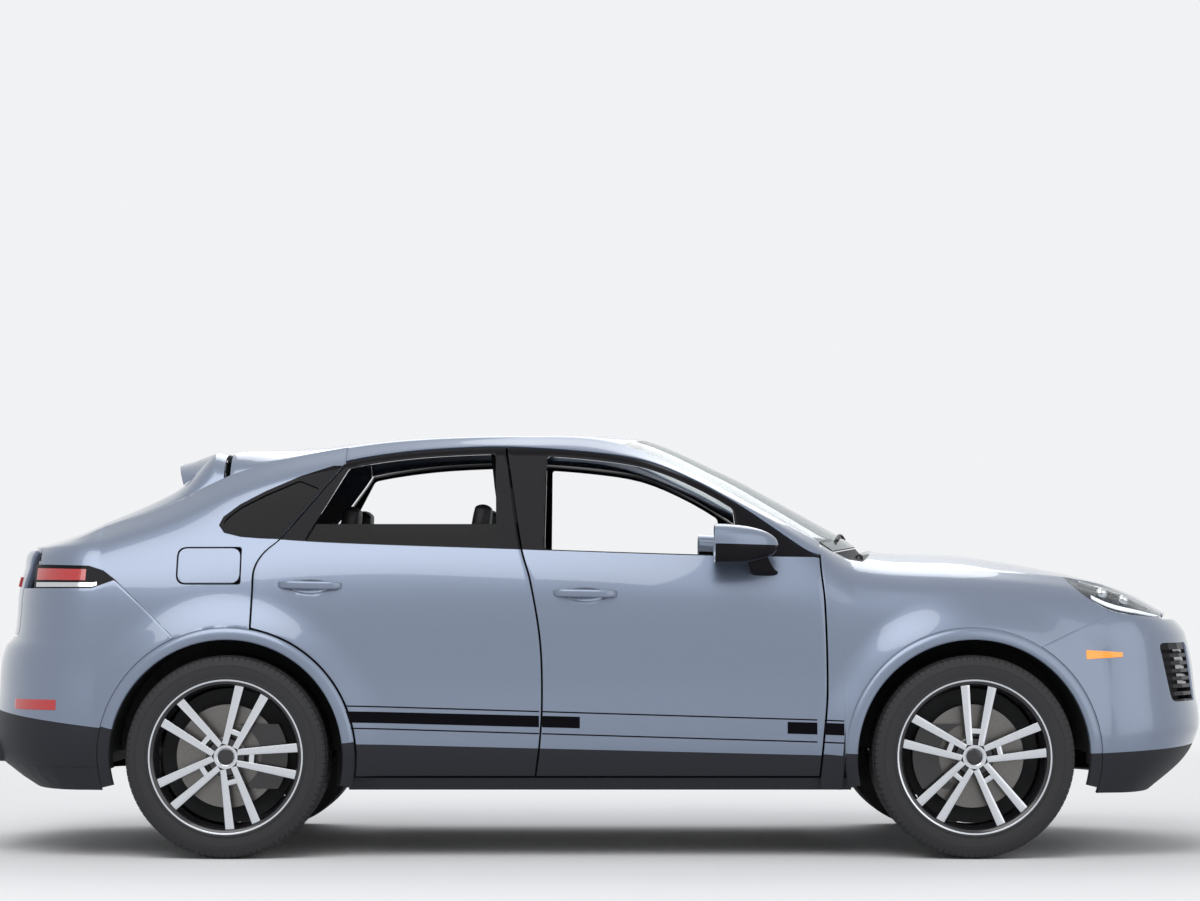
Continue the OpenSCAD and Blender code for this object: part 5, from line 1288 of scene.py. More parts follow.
def build_handles():
    for end, shape in DOORS.items():
        x, z = shape["handle"]
        for name, side in SIDES:
            def bar(i, j):
                u = j / 36
                along_x = x - 124 + 248 * u
                rise = np.clip(1 - np.abs(2 * u - 1) ** 5, 0, 1)
                a, b = super_ring(i, 20, 5 + 2.5 * rise, mix(10, 15, rise ** 0.5), 2.8)
                y = side_y(along_x, z) - 3 + 24 * rise
                return np.stack([along_x, side * (y + a), z + 0.02 * (x - along_x) + b], -1)

            rod(f"handle_{end}_{name}", (bar, 20, 36), f"{end}_door_{name}", finish("paint"), "paint",
                sharp=50)


def build_door_glass():
    def pane(i, j):
        x = mix(X_RA + 300, X_RA + 1044, i / 40)
        return on_side(x, mix(BELT(x) - 2, 1296, j / 6), 16)

    for name, side in SIDES:
        panel(f"door_pane_rear_{name}", (40, 6, pane, side), f"rear_door_{name}", finish("tint"), "window",
              wall=4, kept=[prism(rounded(REAR_WINDOW, WINDOW_CORNER), side)],
              replaces=[f"glass_rear_{name}"])


def build_spoiler():
    n, m = 70, 24
    front_x = mix(GATE_FRONT_X, GATE_REAR_X, 1 / 12)
    rear_x = mix(GATE_FRONT_X, GATE_REAR_X, 3 / 12) - 36

    def outer(i, j):
        s = mix(-0.75, 0.75, i / n)
        t = j / m
        fall = np.clip(1 - np.abs(s / 0.755) ** 6, 0, 1)
        x = mix(front_x, mix(GATE_FRONT_X, GATE_REAR_X, 3 / 12), t)
        point = crowned(s, x, GATE_FORM, SHUT_GAP)
        lift = np.interp(t, [0, 0.5, 1], [2, 46, 84]) * fall
        return point + np.stack([-36 * t ** 2 * fall, 0 * t, np.maximum(lift, 1.2)], -1)

    bm = bmesh.new()
    grid(bm, n, m, outer)
    under = [e for e in bm.edges if e.is_boundary]
    made = bmesh.ops.extrude_edge_only(bm, edges=under)["geom"]
    for vert in [v for v in made if isinstance(v, bmesh.types.BMVert)]:
        x = vert.co.x / MM
        y = vert.co.y / MM
        t = (front_x - x) / (front_x - rear_x)
        foot = x + 76 * min(max(t, 0), 1) ** 2
        vert.co.x = foot * MM
        half = float(side_y(foot, edge_z(foot))) - SHUT_GAP
        vert.co.z = float(crowned(np.array(y / half), np.array(foot), GATE_FORM, SHUT_GAP)[2] - 4) * MM
    bmesh.ops.recalc_face_normals(bm, faces=bm.faces)
    piece("spoiler_blade", bm, "tailgate", finish("paint"), "paint", sharp=40, replaces=["spoiler"])


STRIPE_REAR_X = -972
STRIPE_FRONT_X = 953
STRIPE_SPLITS = {"rear": (STRIPE_REAR_X, -226), "front": (-214, 851), "fender": (879, STRIPE_FRONT_X)}
STRIPE_ROWS = [((592, 587), (534, 529)), ((569, 526), (522, 476)), ((507, 502), (449, 444))]
BARE_PLACE = (-68, 736)


def build_stripes():
    for part, (x_low, x_high) in STRIPE_SPLITS.items():
        for name, side in SIDES:
            bm = bmesh.new()
            for row, (rear_z, front_z) in enumerate(STRIPE_ROWS):
                spans = [(x_low, x_high)]
                if row == 1:
                    spans = [(x_low, min(x_high, BARE_PLACE[0])), (max(x_low, BARE_PLACE[1]), x_high)]
                for a, b in spans:
                    if b - a < 10:
                        continue

                    def film(i, j):
                        x = mix(a, b, i / 40)
                        t = (x - STRIPE_REAR_X) / (STRIPE_FRONT_X - STRIPE_REAR_X)
                        top = mix(rear_z[0], front_z[0], t)
                        low = mix(rear_z[1], front_z[1], t)
                        return on_side(x, mix(low, top, j / 2), -0.9)

                    grid(bm, 40, 2, film, side)
            body = "body" if part == "fender" else f"{part}_door_{name}"
            piece(f"stripes_{part}_{name}", bm, body, finish("stripe"), "dark_trim", wall=0.7)


def build_cowl():
    def place(i, j):
        s = 2 * i / 60 - 1
        front = crowned(s, np.full(len(s), HOOD_REAR_X - 6.0), HOOD_FORM, 10) - np.array([0, 0, 16])
        back = crowned(s, np.full(len(s), COWL_X), SCREEN_FORM, 10) - np.array([0, 0, 8])
        dip = 14 * np.sin(np.pi * j / 8)
        return mix(back, front, (j / 8)[:, None]) - np.array([0, 0, 1]) * dip[:, None]

    panel("cowl_panel", (60, 8, place), "body", finish("cladding"), "dark_trim", wall=4)
    for number, (foot_s, tip_s) in enumerate(((0.05, 0.86), (-0.75, 0.0))):
        def blade(i, j):
            t = j / 24
            s = mix(foot_s, tip_s, t)
            point = crowned(s, np.full(len(s), COWL_X - 36.0) - 24 * np.sin(np.pi * t), SCREEN_FORM, 2)
            a, b = super_ring(i, 10, mix(9, 5, t), mix(6, 4, t), 2.4)
            return point + np.stack([a, 0 * a, 8 + b], -1)

        rod(f"wiper_{number}", (blade, 10, 24), "body", finish("rubber"), "dark_trim", sharp=50)


# Wheels, drawn about the axle with +Y to the outside

WHEELS = {"front": dict(x=X_FA, y=832.0, width=285.0, turn=86.3),
          "rear": dict(x=X_RA, y=817.0, width=315.0, turn=68.5)}
BARREL_R = 281.0
SPOKE_PAIRS = 5
PAIR_TURN = 72
SPOKE_R = (44, 286)
LIP_R = 290
AXLE_R = 0.01
BOLT_R = 60
TREAD_STEPS = 96
BLOCK_MIN_AREA = 0.00013
BLOCK_INSET = 0.0017
BLOCK_RISE = 0.0062


def spin_ring(bm, profile, steps):
    """Spins a closed profile of (radius, outwards) points about the axle."""
    return spun(bm, [(0, y * MM, r * MM) for r, y in profile], (0, 0, 0), (0, 1, 0), steps)


def to_wheel(bm, shape, side):
    if side < 0:
        bmesh.ops.scale(bm, verts=bm.verts, vec=(1, -1, 1))
        bmesh.ops.reverse_faces(bm, faces=bm.faces)
    bmesh.ops.translate(bm, verts=bm.verts, vec=(shape["x"] * MM, side * shape["y"] * MM, WHEEL_R * MM))


def tyre_profile(width):
    """Half of a tyre's section from the bead to the middle of the tread, as (radius, outwards)."""
    h = width / 2
    b = BARREL_R + 0.3
    r = WHEEL_R
    wall = [(b, h - 24), (b + 8, h - 12), (b + 16, h - 7), (b + 22, h - 2.5), (b + 27, h - 2.5),
            (b + 30, h - 5), (b + 46, h - 2), (b + 60, h - 1), (b + 66, h - 1), (b + 67, h - 2.2),
            (b + 71, h - 2.2), (b + 72, h - 1.2), (r - 30, h - 3), (r - 22, h - 7)]
    shoulder = [(r - 13, h - 14), (r - 8.5, h - 30)]
    ribs = []
    rib_w = (h - 38) / 2.5
    y = h - 30
    for _ in range(2):
        ribs += [(r - 7, y - 2), (r - 13.5, y - 3), (r - 13.5, y - 10), (r - 6.5, y - 11)]
        y -= rib_w
    return wall, shoulder, ribs


def build_tyres():
    for end, shape in WHEELS.items():
        for name, side in SIDES:
            wall, shoulder, ribs = tyre_profile(shape["width"])
            half = wall + shoulder + ribs
            profile = half + [(r, -y) for r, y in reversed(half)]
            bm = bmesh.new()
            faces = spin_ring(bm, profile, TREAD_STEPS)
            blocks = []
            for face in faces:
                c = face.calc_center_median()
                radius = math.hypot(c.x, c.z)
                n = face.normal
                out = (n.x * c.x + n.z * c.z) / radius
                if radius > (WHEEL_R - 19) * MM and out > 0.3:
                    if face.calc_area() > BLOCK_MIN_AREA and not (out > 0.9
                                                                  and radius < (WHEEL_R - 12) * MM):
                        blocks.append(face)
            bmesh.ops.inset_individual(bm, faces=blocks, thickness=BLOCK_INSET, depth=0.0)
            for face in blocks:
                for vert in face.verts:
                    r = math.hypot(vert.co.x, vert.co.z)
                    lift = min((WHEEL_R - 0.4) * MM, r + BLOCK_RISE) / r
                    vert.co.x *= lift
                    vert.co.z *= lift
            to_wheel(bm, shape, side)
            piece(f"tyre_carcass_{end}_{name}", bm, f"wheel_{end}_{name}", finish("rubber"), "tyre",
                  sharp=32, replaces=[f"tyre_{end}_{name}"])


def spoke_frame(radius, side):
    """Centre offset and half width of one spoke of a pair at a radius."""
    t = (radius - 50) / 241
    return side * mix(22, 55, t), mix(24, 36, t) / 2


def rim_barrel(bm, h, face_y):
    """Barrel with its bright lip, hub, hub ring and plain cap."""
    b = BARREL_R
    spin_ring(bm, [(b - 10, -h + 26), (b + 12, -h + 10), (b + 16, -h + 12.6), (b, -h + 23.2), (b, h - 23.2),
                   (b + 16, h - 12), (b + 19, h - 9), (b + 20, h - 5), (b + 18, h - 3), (b + 12, h - 4),
                   (b + 4, h - 9), (b - 2, h - 14), (b - 6, h - 24), (b - 10, h - 40)], 120)
    for face in bm.faces:
        c = face.calc_center_median()
        lip = math.hypot(c.x, c.z) > LIP_R * MM and c.y > (h - 15) * MM and face.normal.y > 0.25
        face.material_index = 0 if lip else 1
    hub = [(AXLE_R, -60), (78, -60), (78, -20), (70, -14), (AXLE_R, -14)]
    ring = [(30, -16), (48, -16), (48, -4), (46, -1), (36, -1), (33, -4), (30, -6)]
    cap = [(AXLE_R, -12), (33, -12), (33, -6), (28, -3.5), (14, -2.4), (AXLE_R, -2.2)]
    for profile, steps, index in ((hub, 60, 1), (ring, 60, 0), (cap, 48, 1)):
        paint_faces(spin_ring(bm, [(r, face_y + y) for r, y in profile], steps), index)


def spoke_bar(bm, place_low, place_high, steps):
    """Bar with a machined face that follows a line, dark flanks and rounded edges between them."""
    top = bmesh.ops.create_grid(bm, x_segments=1, y_segments=steps, size=1.0)["verts"]
    for k, vert in enumerate(top):
        vert.co = Vector(place_high(k // 2, k % 2)) * MM
    faces = list(dict.fromkeys(f for v in top for f in v.link_faces))
    for face in faces:
        face.normal_update()
    if faces[0].normal.y < 0:
        bmesh.ops.reverse_faces(bm, faces=faces)
    grown = bmesh.ops.extrude_face_region(bm, geom=faces, use_keep_orig=True)["geom"]
    low = [v for v in grown if isinstance(v, bmesh.types.BMVert)]
    for vert in low:
        vert.co = Vector(place_low(vert.co / MM))
        vert.co *= MM
    both = list(dict.fromkeys(f for v in top + low for f in v.link_faces))
    bmesh.ops.recalc_face_normals(bm, faces=both)
    paint_faces(both, 1)
    paint_faces(faces, 0)
    edges = [e for f in faces for e in f.edges if any(g not in faces for g in e.link_faces)]
    bmesh.ops.bevel(bm, geom=list(dict.fromkeys(edges)), offset=0.0016, offset_type="OFFSET", affect="EDGES",
                    segments=2, profile=0.5, material=-1)


def spoke_pair(bm, face_y, turn):
    """Two spokes that part towards the lip, with a bridge between them near the hub."""
    c, s = math.cos(turn), math.sin(turn)
    steps = 12
    inner, outer = SPOKE_R

    def spot(radius, across, y):
        return (radius * c - across * s, y, radius * s + across * c)

    def front_y(radius):
        t = (radius - 40) / 246
        return face_y - 4 * math.sin(math.pi * min(max(t, 0), 1)) - 4 * t ** 3

    def low(at):
        return (at.x, at.y - mix(44, 30, min(math.hypot(at.x, at.z) / outer, 1)), at.z)

    for lean in (-1, 1):
        def high(k, edge):
            radius = mix(inner, outer, k / steps)
            middle, half_w = spoke_frame(radius, lean)
            return spot(radius, middle + half_w * (2 * edge - 1), front_y(radius))

        spoke_bar(bm, low, high, steps)

    def bridge_high(k, edge):
        radius = mix(90, 110, edge)
        middle = spoke_frame(radius, 1)[0]
        return spot(radius, mix(-middle, middle, k / 4), front_y(radius) - 0.8)

    spoke_bar(bm, lambda at: (at.x, at.y - 40, at.z), bridge_high, 4)


def wheel_bolt(bm, face_y, turn):
    made = bmesh.ops.create_cone(bm, cap_ends=True, segments=6, radius1=0.0125, radius2=0.011,
                                 depth=0.014)["verts"]
    bmesh.ops.rotate(bm, verts=made, matrix=Matrix.Rotation(-math.pi / 2, 3, "X"))
    at = (BOLT_R * math.cos(turn) * MM, (face_y - 9) * MM, BOLT_R * math.sin(turn) * MM)
    bmesh.ops.translate(bm, verts=made, vec=at)
    paint_faces({f for v in made for f in v.link_faces}, 1)


def build_rims():
    for end, shape in WHEELS.items():
        h = shape["width"] / 2
        face_y = h - 12
        for name, side in SIDES:
            bm = bmesh.new()
            rim_barrel(bm, h, face_y)
            for k in range(SPOKE_PAIRS):
                spoke_pair(bm, face_y, math.radians(shape["turn"] + PAIR_TURN * k))
            for k in range(SPOKE_PAIRS):
                wheel_bolt(bm, face_y, math.radians(shape["turn"] + PAIR_TURN / 2 + PAIR_TURN * k))
            to_wheel(bm, shape, side)
            piece(f"rim_cast_{end}_{name}", bm, f"wheel_{end}_{name}", finish("machined", "pocket"), "alloy",
                  sharp=30, replaces=[f"rim_{end}_{name}"])


def build_shields_and_shade_discs():
    for end, shape in WHEELS.items():
        y = shape["width"] / 2 - 144
        for name, side in SIDES:
            bm = bmesh.new()
            # Dark disc behind the rim: a brake shield that is also painted shade, hiding the bright floor
            # seen through the wheel
            spin_ring(bm, [(84, y - 3), (262, y - 3), (262, y), (84, y)], 60)
            to_wheel(bm, shape, side)
            body = f"steering_{name}" if end == "front" else "body"
            piece(f"brake_shield_{end}_{name}", bm, body, finish("underbody"), "dark_metal", sharp=50)


# Cabin

CHANNEL_W = 0.045
CUSHION_CHANNELS = [("s", -0.4), ("s", 0.0), ("s", 0.4), ("t", -0.6), ("t", 0.6)]
BACK_CHANNELS = [("s", -0.45), ("s", -0.1), ("s", 0.25), ("t", -0.6), ("t", 0.6)]
HEADREST_CHANNELS = [("t", -0.72), ("t", 0.72)]


def cushion(name, centre, half, pitch, roundness, channels, depth, cuts=15, bolster=0.0, replaces=()):
    """Crowned pad with sewn channels on its upper face; pitch turns it back about Y, in degrees."""
    bm = bmesh.new()
    bmesh.ops.create_cube(bm, size=2.0)
    bmesh.ops.subdivide_edges(bm, edges=bm.edges, cuts=cuts, use_grid_fill=True)
    turn = Matrix.Rotation(math.radians(pitch), 3, "Y")
    for vert in bm.verts:
        s, t, w = vert.co
        ball = Vector((s * math.sqrt(1 - t * t / 2 - w * w / 2 + t * t * w * w / 3),
                       t * math.sqrt(1 - s * s / 2 - w * w / 2 + s * s * w * w / 3),
                       w * math.sqrt(1 - s * s / 2 - t * t / 2 + s * s * t * t / 3)))
        p = Vector((s, t, w)).lerp(ball, roundness)
        p = Vector((p.x * half[0], p.y * half[1], p.z * half[2]))
        if w > 0.4:
            places = [(value, s if axis == "s" else t) for axis, value in channels]
            dip = sum(math.exp(-((value - at) / CHANNEL_W) ** 2) for value, at in places)
            p.z -= depth * min(dip, 1) * (1 - max(abs(s), abs(t)) ** 8)
            p.z += bolster * max(abs(t) - 0.55, 0) * 2.2 * (1 - abs(s) ** 4)
        vert.co = (turn @ p + Vector(centre)) * MM
    bmesh.ops.recalc_face_normals(bm, faces=bm.faces)
    made = piece(name, bm, "body", finish("leather"), "leather", levels=1, sharp=60, replaces=replaces)


def build_seats():
    seat_x = X_FA - 1290
    for name, side in SIDES:
        y = side * 400
        cushion(f"seat_cushion_{name}", (seat_x - 225, y, 520), (240, 235, 80), -5, 0.35, CUSHION_CHANNELS,
                8, bolster=38, replaces=on_left(side, "front_seats"))
        cushion(f"seat_back_{name}", (seat_x - 550, y, 890), (330, 225, 62), -74.5, 0.35, BACK_CHANNELS, 8,
                bolster=34)
        cushion(f"seat_headrest_{name}", (seat_x - 640, y, 1295), (92, 122, 40), -82, 0.5, HEADREST_CHANNELS,
                4)
        bm = bmesh.new()
        for offset in (-55, 55):
            def post(i, j):
                a, b = super_ring(i, 12, 6, 6, 2)
                x = mix(seat_x - 640, seat_x - 646, j / 4)
                return np.stack([x + a, y + offset + b, mix(1150.0, 1240.0, j / 4) + 0 * a], -1)

            tube(bm, post, 12, 4)
        piece(f"headrest_posts_{name}", bm, "body", finish("chrome"), "steel")
        soft_box(f"seat_base_{name}", (seat_x - 450, y - 190, 272), (seat_x - 20, y + 190, 470), 0.02, 3,
                 "cladding", "dark_trim")
    rear_x = X_FA - 1860
    cushion("rear_cushion", (rear_x - 235, 0, 510), (250, 595, 85), -5, 0.25,
            [("t", -0.34), ("t", 0.34), ("s", 0.1)], 10, 23, replaces=["rear_seat"])
    cushion("rear_back", (rear_x - 545, 0, 880), (315, 595, 60), -77.5, 0.25,
            [("t", -0.34), ("t", 0.34), ("s", -0.1)], 10, 23)
    for number, y in enumerate((-330, 330)):
        cushion(f"rear_headrest_{number}", (rear_x - 607, y, 1285), (95, 125, 40), -82, 0.5,
                HEADREST_CHANNELS, 4)


FIREWALL_X = X_FA - 470
DASH = [(0, 640), (0, 1060), (-60, 1090), (-420, 1085), (-530, 1040), (-545, 960), (-440, 890), (-300, 660)]
DASH_BOXES = [
    ("dash_display", "gloss", (-548, -150, 1020), (-536, 150, 1140)),
    ("gauge_hood", "leather", (-520, 270, 1075), (-330, 530, 1128)),
    ("dash_rail", "chrome", (-556, -620, 985), (-538, 620, 1004)),
]


def build_dashboard():
    bm = bmesh.new()
    outline = rounded([(FIREWALL_X + x, z) for x, z in DASH], 40, 5)

    def ring(i, j):
        t = 2 * j / 40 - 1
        points = np.array(outline)[i]
        sag = 18 * np.abs(t) ** 3
        return np.stack([points[:, 0] + sag, 658 * t, points[:, 1] - 0.25 * sag], -1)

    tube(bm, ring, len(outline), 40)
    piece("dash_top", bm, "body", finish("leather"), "leather", replaces=["dashboard"], sharp=40)
    soft_box("console", (FIREWALL_X - 900, -118, 376), (FIREWALL_X - 250, 118, 700), 0.03, 4, "leather",
             "leather")
    for name, look, low, high in DASH_BOXES:
        low = (FIREWALL_X + low[0], *low[1:])
        high = (FIREWALL_X + high[0], *high[1:])
        size = min(b - a for a, b in zip(low, high)) * MM
        soft_box(name, low, high, size * 0.4, 3, look, "dark_trim")


def build_steering_wheel():
    bm = bmesh.new()
    centre = Vector((FIREWALL_X - 650, 400, 965)) * MM
    ring = bmesh.ops.create_circle(bm, cap_ends=False, segments=18, radius=0.016)["verts"]
    bmesh.ops.rotate(bm, verts=ring, matrix=Matrix.Rotation(math.pi / 2, 3, "X"))
    bmesh.ops.translate(bm, verts=ring, vec=(0.1715, 0, 0))
    edges = list({e for v in ring for e in v.link_edges})
    bmesh.ops.spin(bm, geom=ring + edges, cent=(0, 0, 0), axis=(0, 0, 1), angle=math.tau, steps=64,
                   use_merge=True)
    hub = bmesh.ops.create_uvsphere(bm, u_segments=32, v_segments=16, radius=0.075)["verts"]
    bmesh.ops.scale(bm, verts=hub, vec=(1, 1.1, 0.32))
    for turn in (0, 90, 270):
        arm = box(bm, (60, -20, -7), (165, 20, 7))
        bmesh.ops.rotate(bm, verts=arm, matrix=Matrix.Rotation(math.radians(turn), 3, "Z"))
    column = bmesh.ops.create_cone(bm, cap_ends=True, segments=28, radius1=0.03, radius2=0.032,
                                   depth=0.12)["verts"]
    bmesh.ops.translate(bm, verts=column, vec=(0, 0, 0.062))
    bmesh.ops.recalc_face_normals(bm, faces=bm.faces)
    bmesh.ops.rotate(bm, verts=bm.verts, matrix=Matrix.Rotation(math.radians(114), 3, "Y"))
    bmesh.ops.translate(bm, verts=bm.verts, vec=centre)
    piece("steering_rim", bm, "body", finish("leather"), "leather", replaces=["steering_wheel"], sharp=45)


def build_headliner():
    bm = bmesh.new()
    grid(bm, *crown(40, 40, ROOF_REAR_X + 10, HEADER_X - 10, ROOF_FORM, 60, 22))
    bmesh.ops.reverse_faces(bm, faces=bm.faces)
    piece("headliner", bm, "body", finish("lining"), "leather", wall=6)


CARRIED = {"floor_pan": "underbody", "sills": "cladding", "door_posts": "gloss", "wheel_liners": "underbody",
           "front_grille": "gloss", "rear_diffuser": "cladding", "exhaust": "iron", "engine": "iron",
           "suspension_arms": "iron", "rear_knuckles": "pocket", "knuckle_left": "pocket",
           "knuckle_right": "pocket"}


def dress_frame():
    """Gives the nodes that stay as they are their finishes."""
    looks = dict(CARRIED)
    for name in frame["nodes"]:
        if name.startswith("disc_"):
            looks[name] = "disc"
    for name, look in looks.items():
        mesh = frame["nodes"][name].data
        mesh.materials.clear()
        mesh.materials.append(FINISHES[look].material)


# Stage, in metres

FLOOR_R = 12.0
FLOOR_FADE = (4.0, 9.5)
CAMERA_PLACE = (0.010, -12.87, 1.0)


def build_stage(look):
    floor = Finish("floor", "studio_floor", look.floor, roughness=0.8)
    floor.shade(floor.noise(4, 2), 0.985, 1.0)
    away = floor.add("ShaderNodeVectorMath", {"operation": "LENGTH"}, {0: floor.place}).outputs["Value"]
    fade = floor.add("ShaderNodeMapRange", None,
                     {"Value": away, "From Min": FLOOR_FADE[0], "From Max": FLOOR_FADE[1], "To Min": 1.0,
                      "To Max": 0.0})
    floor.set("Alpha", fade.outputs[0])
    bm = bmesh.new()
    bmesh.ops.create_circle(bm, cap_ends=True, segments=96, radius=FLOOR_R)
    bmesh.ops.translate(bm, verts=bm.verts, vec=(0, 0, -0.001))
    ground = loose("studio_ground", bm)
    ground.data.materials.append(floor.material)
    for name, energy, size, place, aim in (
            ("key_light", 420, 7.0, (-2.0, -6.0, 7.5), (0, 0, 0.6)),
            ("fill_light", 160, 8.0, (7.0, -7.0, 4.0), (0, 0, 0.6)),
            ("back_light", 290, 7.0, (0.0, 6.5, 7.0), (0, 0, 0.8))):
        data = bpy.data.lights.new(name, "AREA")
        data.energy = energy
        data.size = size
        lamp = bpy.data.objects.new(name, data)
        lamp.location = place
        lamp.rotation_euler = (Vector(aim) - Vector(place)).to_track_quat("-Z", "Y").to_euler()
        bpy.context.scene.collection.objects.link(lamp)
    world = bpy.data.worlds.new("studio")
    world.use_nodes = True
    sky = world.node_tree.nodes["Background"]
    sky.inputs["Color"].default_value = (0.95, 0.97, 1.0, 1)
    sky.inputs["Strength"].default_value = 0.4
    pale = node(world.node_tree, "ShaderNodeBackground", None,
                {"Color": (0.88, 0.89, 0.9, 1), "Strength": 1.0})
    ray = node(world.node_tree, "ShaderNodeLightPath")
    seen = Wire(world.node_tree, ray.outputs["Is Camera Ray"])
    for kind in ("Is Glossy Ray", "Is Transmission Ray"):
        seen = seen + Wire(world.node_tree, ray.outputs[kind])
    both = node(world.node_tree, "ShaderNodeMixShader", None,
                {0: seen, 1: sky.outputs[0], 2: pale.outputs[0]})
    world.node_tree.links.new(both.outputs[0], world.node_tree.nodes["World Output"].inputs["Surface"])
    bpy.context.scene.world = world
    bpy.context.scene.view_settings.view_transform = "Standard"
    data = bpy.data.cameras.new("camera")
    data.sensor_width = 36.0
    data.lens = look.lens
    data.clip_end = 200
    camera = bpy.data.objects.new("camera", data)
    camera.location = CAMERA_PLACE
    camera.rotation_euler = (math.radians(90 + look.camera_pitch), 0, 0)
    bpy.context.scene.collection.objects.link(camera)
    bpy.context.scene.camera = camera


# Add-on

def colour_prop(name, description, colour):
    return bpy.props.FloatVectorProperty(name=name, description=description, subtype="COLOR", size=3, min=0,
                                         max=1, default=colour)


class VehicleLook(bpy.types.PropertyGroup):
    """Colours and camera of the vehicle."""

    paint: colour_prop("Paint", "Colour of the metallic body paint", linear(118, 130, 151))
    gloss_black: colour_prop("Gloss black", "Colour of the window frames", linear(24, 23, 27))
    cladding: colour_prop("Cladding", "Colour of the grained lower cladding", linear(38, 39, 45))
    rubber: colour_prop("Rubber", "Colour of the tyres", linear(34, 34, 36))
    machined: colour_prop("Machined alloy", "Colour of the wheel faces", linear(208, 211, 216))
    red_lens: colour_prop("Red lens", "Colour of the tail lamps", linear(170, 18, 24))
    stripe: colour_prop("Stripe", "Colour of the stripes on the doors", linear(10, 10, 15))
    leather: colour_prop("Leather", "Colour of the seats and trim", linear(30, 30, 33))
    floor: colour_prop("Floor", "Colour of the studio floor", linear(250, 250, 251))
    lens: bpy.props.FloatProperty(name="Lens", description="Focal length of the camera", default=92.1,
                                  min=10, unit="CAMERA")
    camera_pitch: bpy.props.FloatProperty(name="Camera pitch",
                                          description="Upward tilt of the camera in degrees", default=2.78)


class VEHICLE_OT_finishes(bpy.types.Operator):
    """Makes the procedural materials."""

    bl_idname = "vehicle.finishes"
    bl_label = "Make Finishes"

    def execute(self, context):
        make_finishes(context.scene.vehicle_look)
        return {"FINISHED"}


class VEHICLE_OT_frame(bpy.types.Operator):
    """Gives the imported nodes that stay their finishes."""

    bl_idname = "vehicle.frame"
    bl_label = "Dress Frame"

    def execute(self, context):
        dress_frame()
        return {"FINISHED"}


class VEHICLE_OT_doors(bpy.types.Operator):
    """Builds the four doors with their window openings."""

    bl_idname = "vehicle.doors"
    bl_label = "Build Doors"

    def execute(self, context):
        build_doors()
        return {"FINISHED"}


class VEHICLE_OT_door_fittings(bpy.types.Operator):
    """Builds the door glass, handles and mirrors."""

    bl_idname = "vehicle.door_fittings"
    bl_label = "Build Door Fittings"

    def execute(self, context):
        build_door_glass()
        build_handles()
        build_mirrors()
        return {"FINISHED"}


class VEHICLE_OT_quarters(bpy.types.Operator):
    """Builds the rear quarters with their windows and the fuel flap."""

    bl_idname = "vehicle.quarters"
    bl_label = "Build Quarters"

    def execute(self, context):
        build_quarters()
        build_fuel_flap()
        return {"FINISHED"}


class VEHICLE_OT_fenders(bpy.types.Operator):
    """Builds the fenders, roof rails, arch trims and liner flanges."""

    bl_idname = "vehicle.fenders"
    bl_label = "Build Fenders"

    def execute(self, context):
        build_fenders()
        build_rails()
        build_arch_trims()
        build_liner_flanges()
        return {"FINISHED"}


class VEHICLE_OT_roof(bpy.types.Operator):
    """Builds the roof, windshield and cowl."""

    bl_idname = "vehicle.roof"
    bl_label = "Build Roof"

    def execute(self, context):
        build_roof()
        build_cowl()
        return {"FINISHED"}


class VEHICLE_OT_hood(bpy.types.Operator):
    """Builds the hood's outer skin and the seal under its edge."""

    bl_idname = "vehicle.hood"
    bl_label = "Build Hood"

    def execute(self, context):
        build_hood()
        return {"FINISHED"}


class VEHICLE_OT_tailgate(bpy.types.Operator):
    """Builds the tailgate with its window and spoiler."""

    bl_idname = "vehicle.tailgate"
    bl_label = "Build Tailgate"

    def execute(self, context):
        build_tailgate()
        build_spoiler()
        return {"FINISHED"}


class VEHICLE_OT_bumpers(bpy.types.Operator):
    """Builds both bumpers with their intakes, markers and exhaust tips."""

    bl_idname = "vehicle.bumpers"
    bl_label = "Build Bumpers"

    def execute(self, context):
        build_front_bumper()
        build_rear_bumper()
        return {"FINISHED"}


class VEHICLE_OT_lamps(bpy.types.Operator):
    """Builds the headlamps and tail lamps."""

    bl_idname = "vehicle.lamps"
    bl_label = "Build Lamps"

    def execute(self, context):
        build_headlamps()
        build_tail_lamps()
        return {"FINISHED"}


class VEHICLE_OT_stripes(bpy.types.Operator):
    """Lays the stripes on the doors and fenders."""

    bl_idname = "vehicle.stripes"
    bl_label = "Build Stripes"

    def execute(self, context):
        build_stripes()
        return {"FINISHED"}


class VEHICLE_OT_tyres(bpy.types.Operator):
    """Builds the four tyres with their tread."""

    bl_idname = "vehicle.tyres"
    bl_label = "Build Tyres"

    def execute(self, context):
        build_tyres()
        return {"FINISHED"}


class VEHICLE_OT_rims(bpy.types.Operator):
    """Builds the four twin-spoke rims and the brake shields, dark discs that also stand in as painted shade
    inside the wheels.
    """

    bl_idname = "vehicle.rims"
    bl_label = "Build Rims"

    def execute(self, context):
        build_rims()
        build_shields_and_shade_discs()
        return {"FINISHED"}


class VEHICLE_OT_seats(bpy.types.Operator):
    """Builds the front and rear seats."""

    bl_idname = "vehicle.seats"
    bl_label = "Build Seats"

    def execute(self, context):
        build_seats()
        return {"FINISHED"}


class VEHICLE_OT_dashboard(bpy.types.Operator):
    """Builds the dashboard, steering wheel and headliner."""

    bl_idname = "vehicle.dashboard"
    bl_label = "Build Dashboard"

    def execute(self, context):
        build_dashboard()
        build_steering_wheel()
        build_headliner()
        return {"FINISHED"}


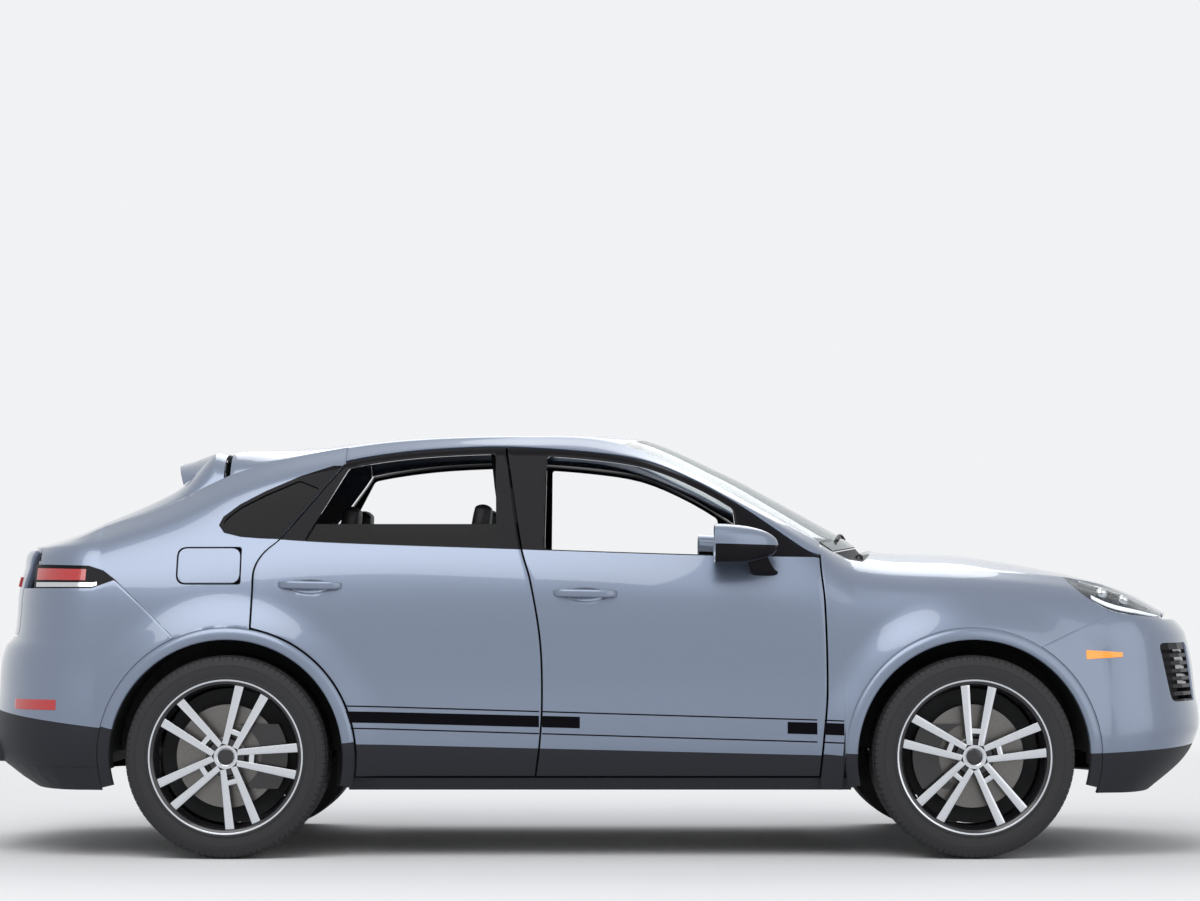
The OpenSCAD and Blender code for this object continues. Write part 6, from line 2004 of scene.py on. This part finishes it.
class VEHICLE_OT_stage(bpy.types.Operator):
    """Builds the studio floor, lights and camera."""

    bl_idname = "vehicle.stage"
    bl_label = "Build Stage"

    def execute(self, context):
        build_stage(context.scene.vehicle_look)
        return {"FINISHED"}


class VEHICLE_PT_panel(bpy.types.Panel):
    """Lists the building steps and the colours in the sidebar."""

    bl_idname = "VEHICLE_PT_panel"
    bl_label = "Coupe Sport Utility Vehicle"
    bl_space_type = "VIEW_3D"
    bl_region_type = "UI"
    bl_category = "Vehicle"

    def draw(self, context):
        look = context.scene.vehicle_look
        for key in VehicleLook.__annotations__:
            self.layout.prop(look, key)
        for step in STEPS:
            self.layout.operator(step.bl_idname)


STEPS = [
    VEHICLE_OT_finishes,
    VEHICLE_OT_frame,
    VEHICLE_OT_doors,
    VEHICLE_OT_door_fittings,
    VEHICLE_OT_quarters,
    VEHICLE_OT_fenders,
    VEHICLE_OT_roof,
    VEHICLE_OT_hood,
    VEHICLE_OT_tailgate,
    VEHICLE_OT_bumpers,
    VEHICLE_OT_lamps,
    VEHICLE_OT_stripes,
    VEHICLE_OT_tyres,
    VEHICLE_OT_rims,
    VEHICLE_OT_seats,
    VEHICLE_OT_dashboard,
    VEHICLE_OT_stage,
]
CLASSES = [VehicleLook, *STEPS, VEHICLE_PT_panel]


def register():
    for each in CLASSES:
        bpy.utils.register_class(each)
    bpy.types.Scene.vehicle_look = bpy.props.PointerProperty(type=VehicleLook)


def unregister():
    del bpy.types.Scene.vehicle_look
    for each in reversed(CLASSES):
        bpy.utils.unregister_class(each)


def main():
    register()
    bpy.ops.vehicle.finishes()
    bpy.ops.vehicle.frame()
    bpy.ops.vehicle.doors()
    bpy.ops.vehicle.door_fittings()
    bpy.ops.vehicle.quarters()
    bpy.ops.vehicle.fenders()
    bpy.ops.vehicle.roof()
    bpy.ops.vehicle.hood()
    bpy.ops.vehicle.tailgate()
    bpy.ops.vehicle.bumpers()
    bpy.ops.vehicle.lamps()
    bpy.ops.vehicle.stripes()
    bpy.ops.vehicle.tyres()
    bpy.ops.vehicle.rims()
    bpy.ops.vehicle.seats()
    bpy.ops.vehicle.dashboard()
    bpy.ops.vehicle.stage()


if __name__ == "__main__":
    main()
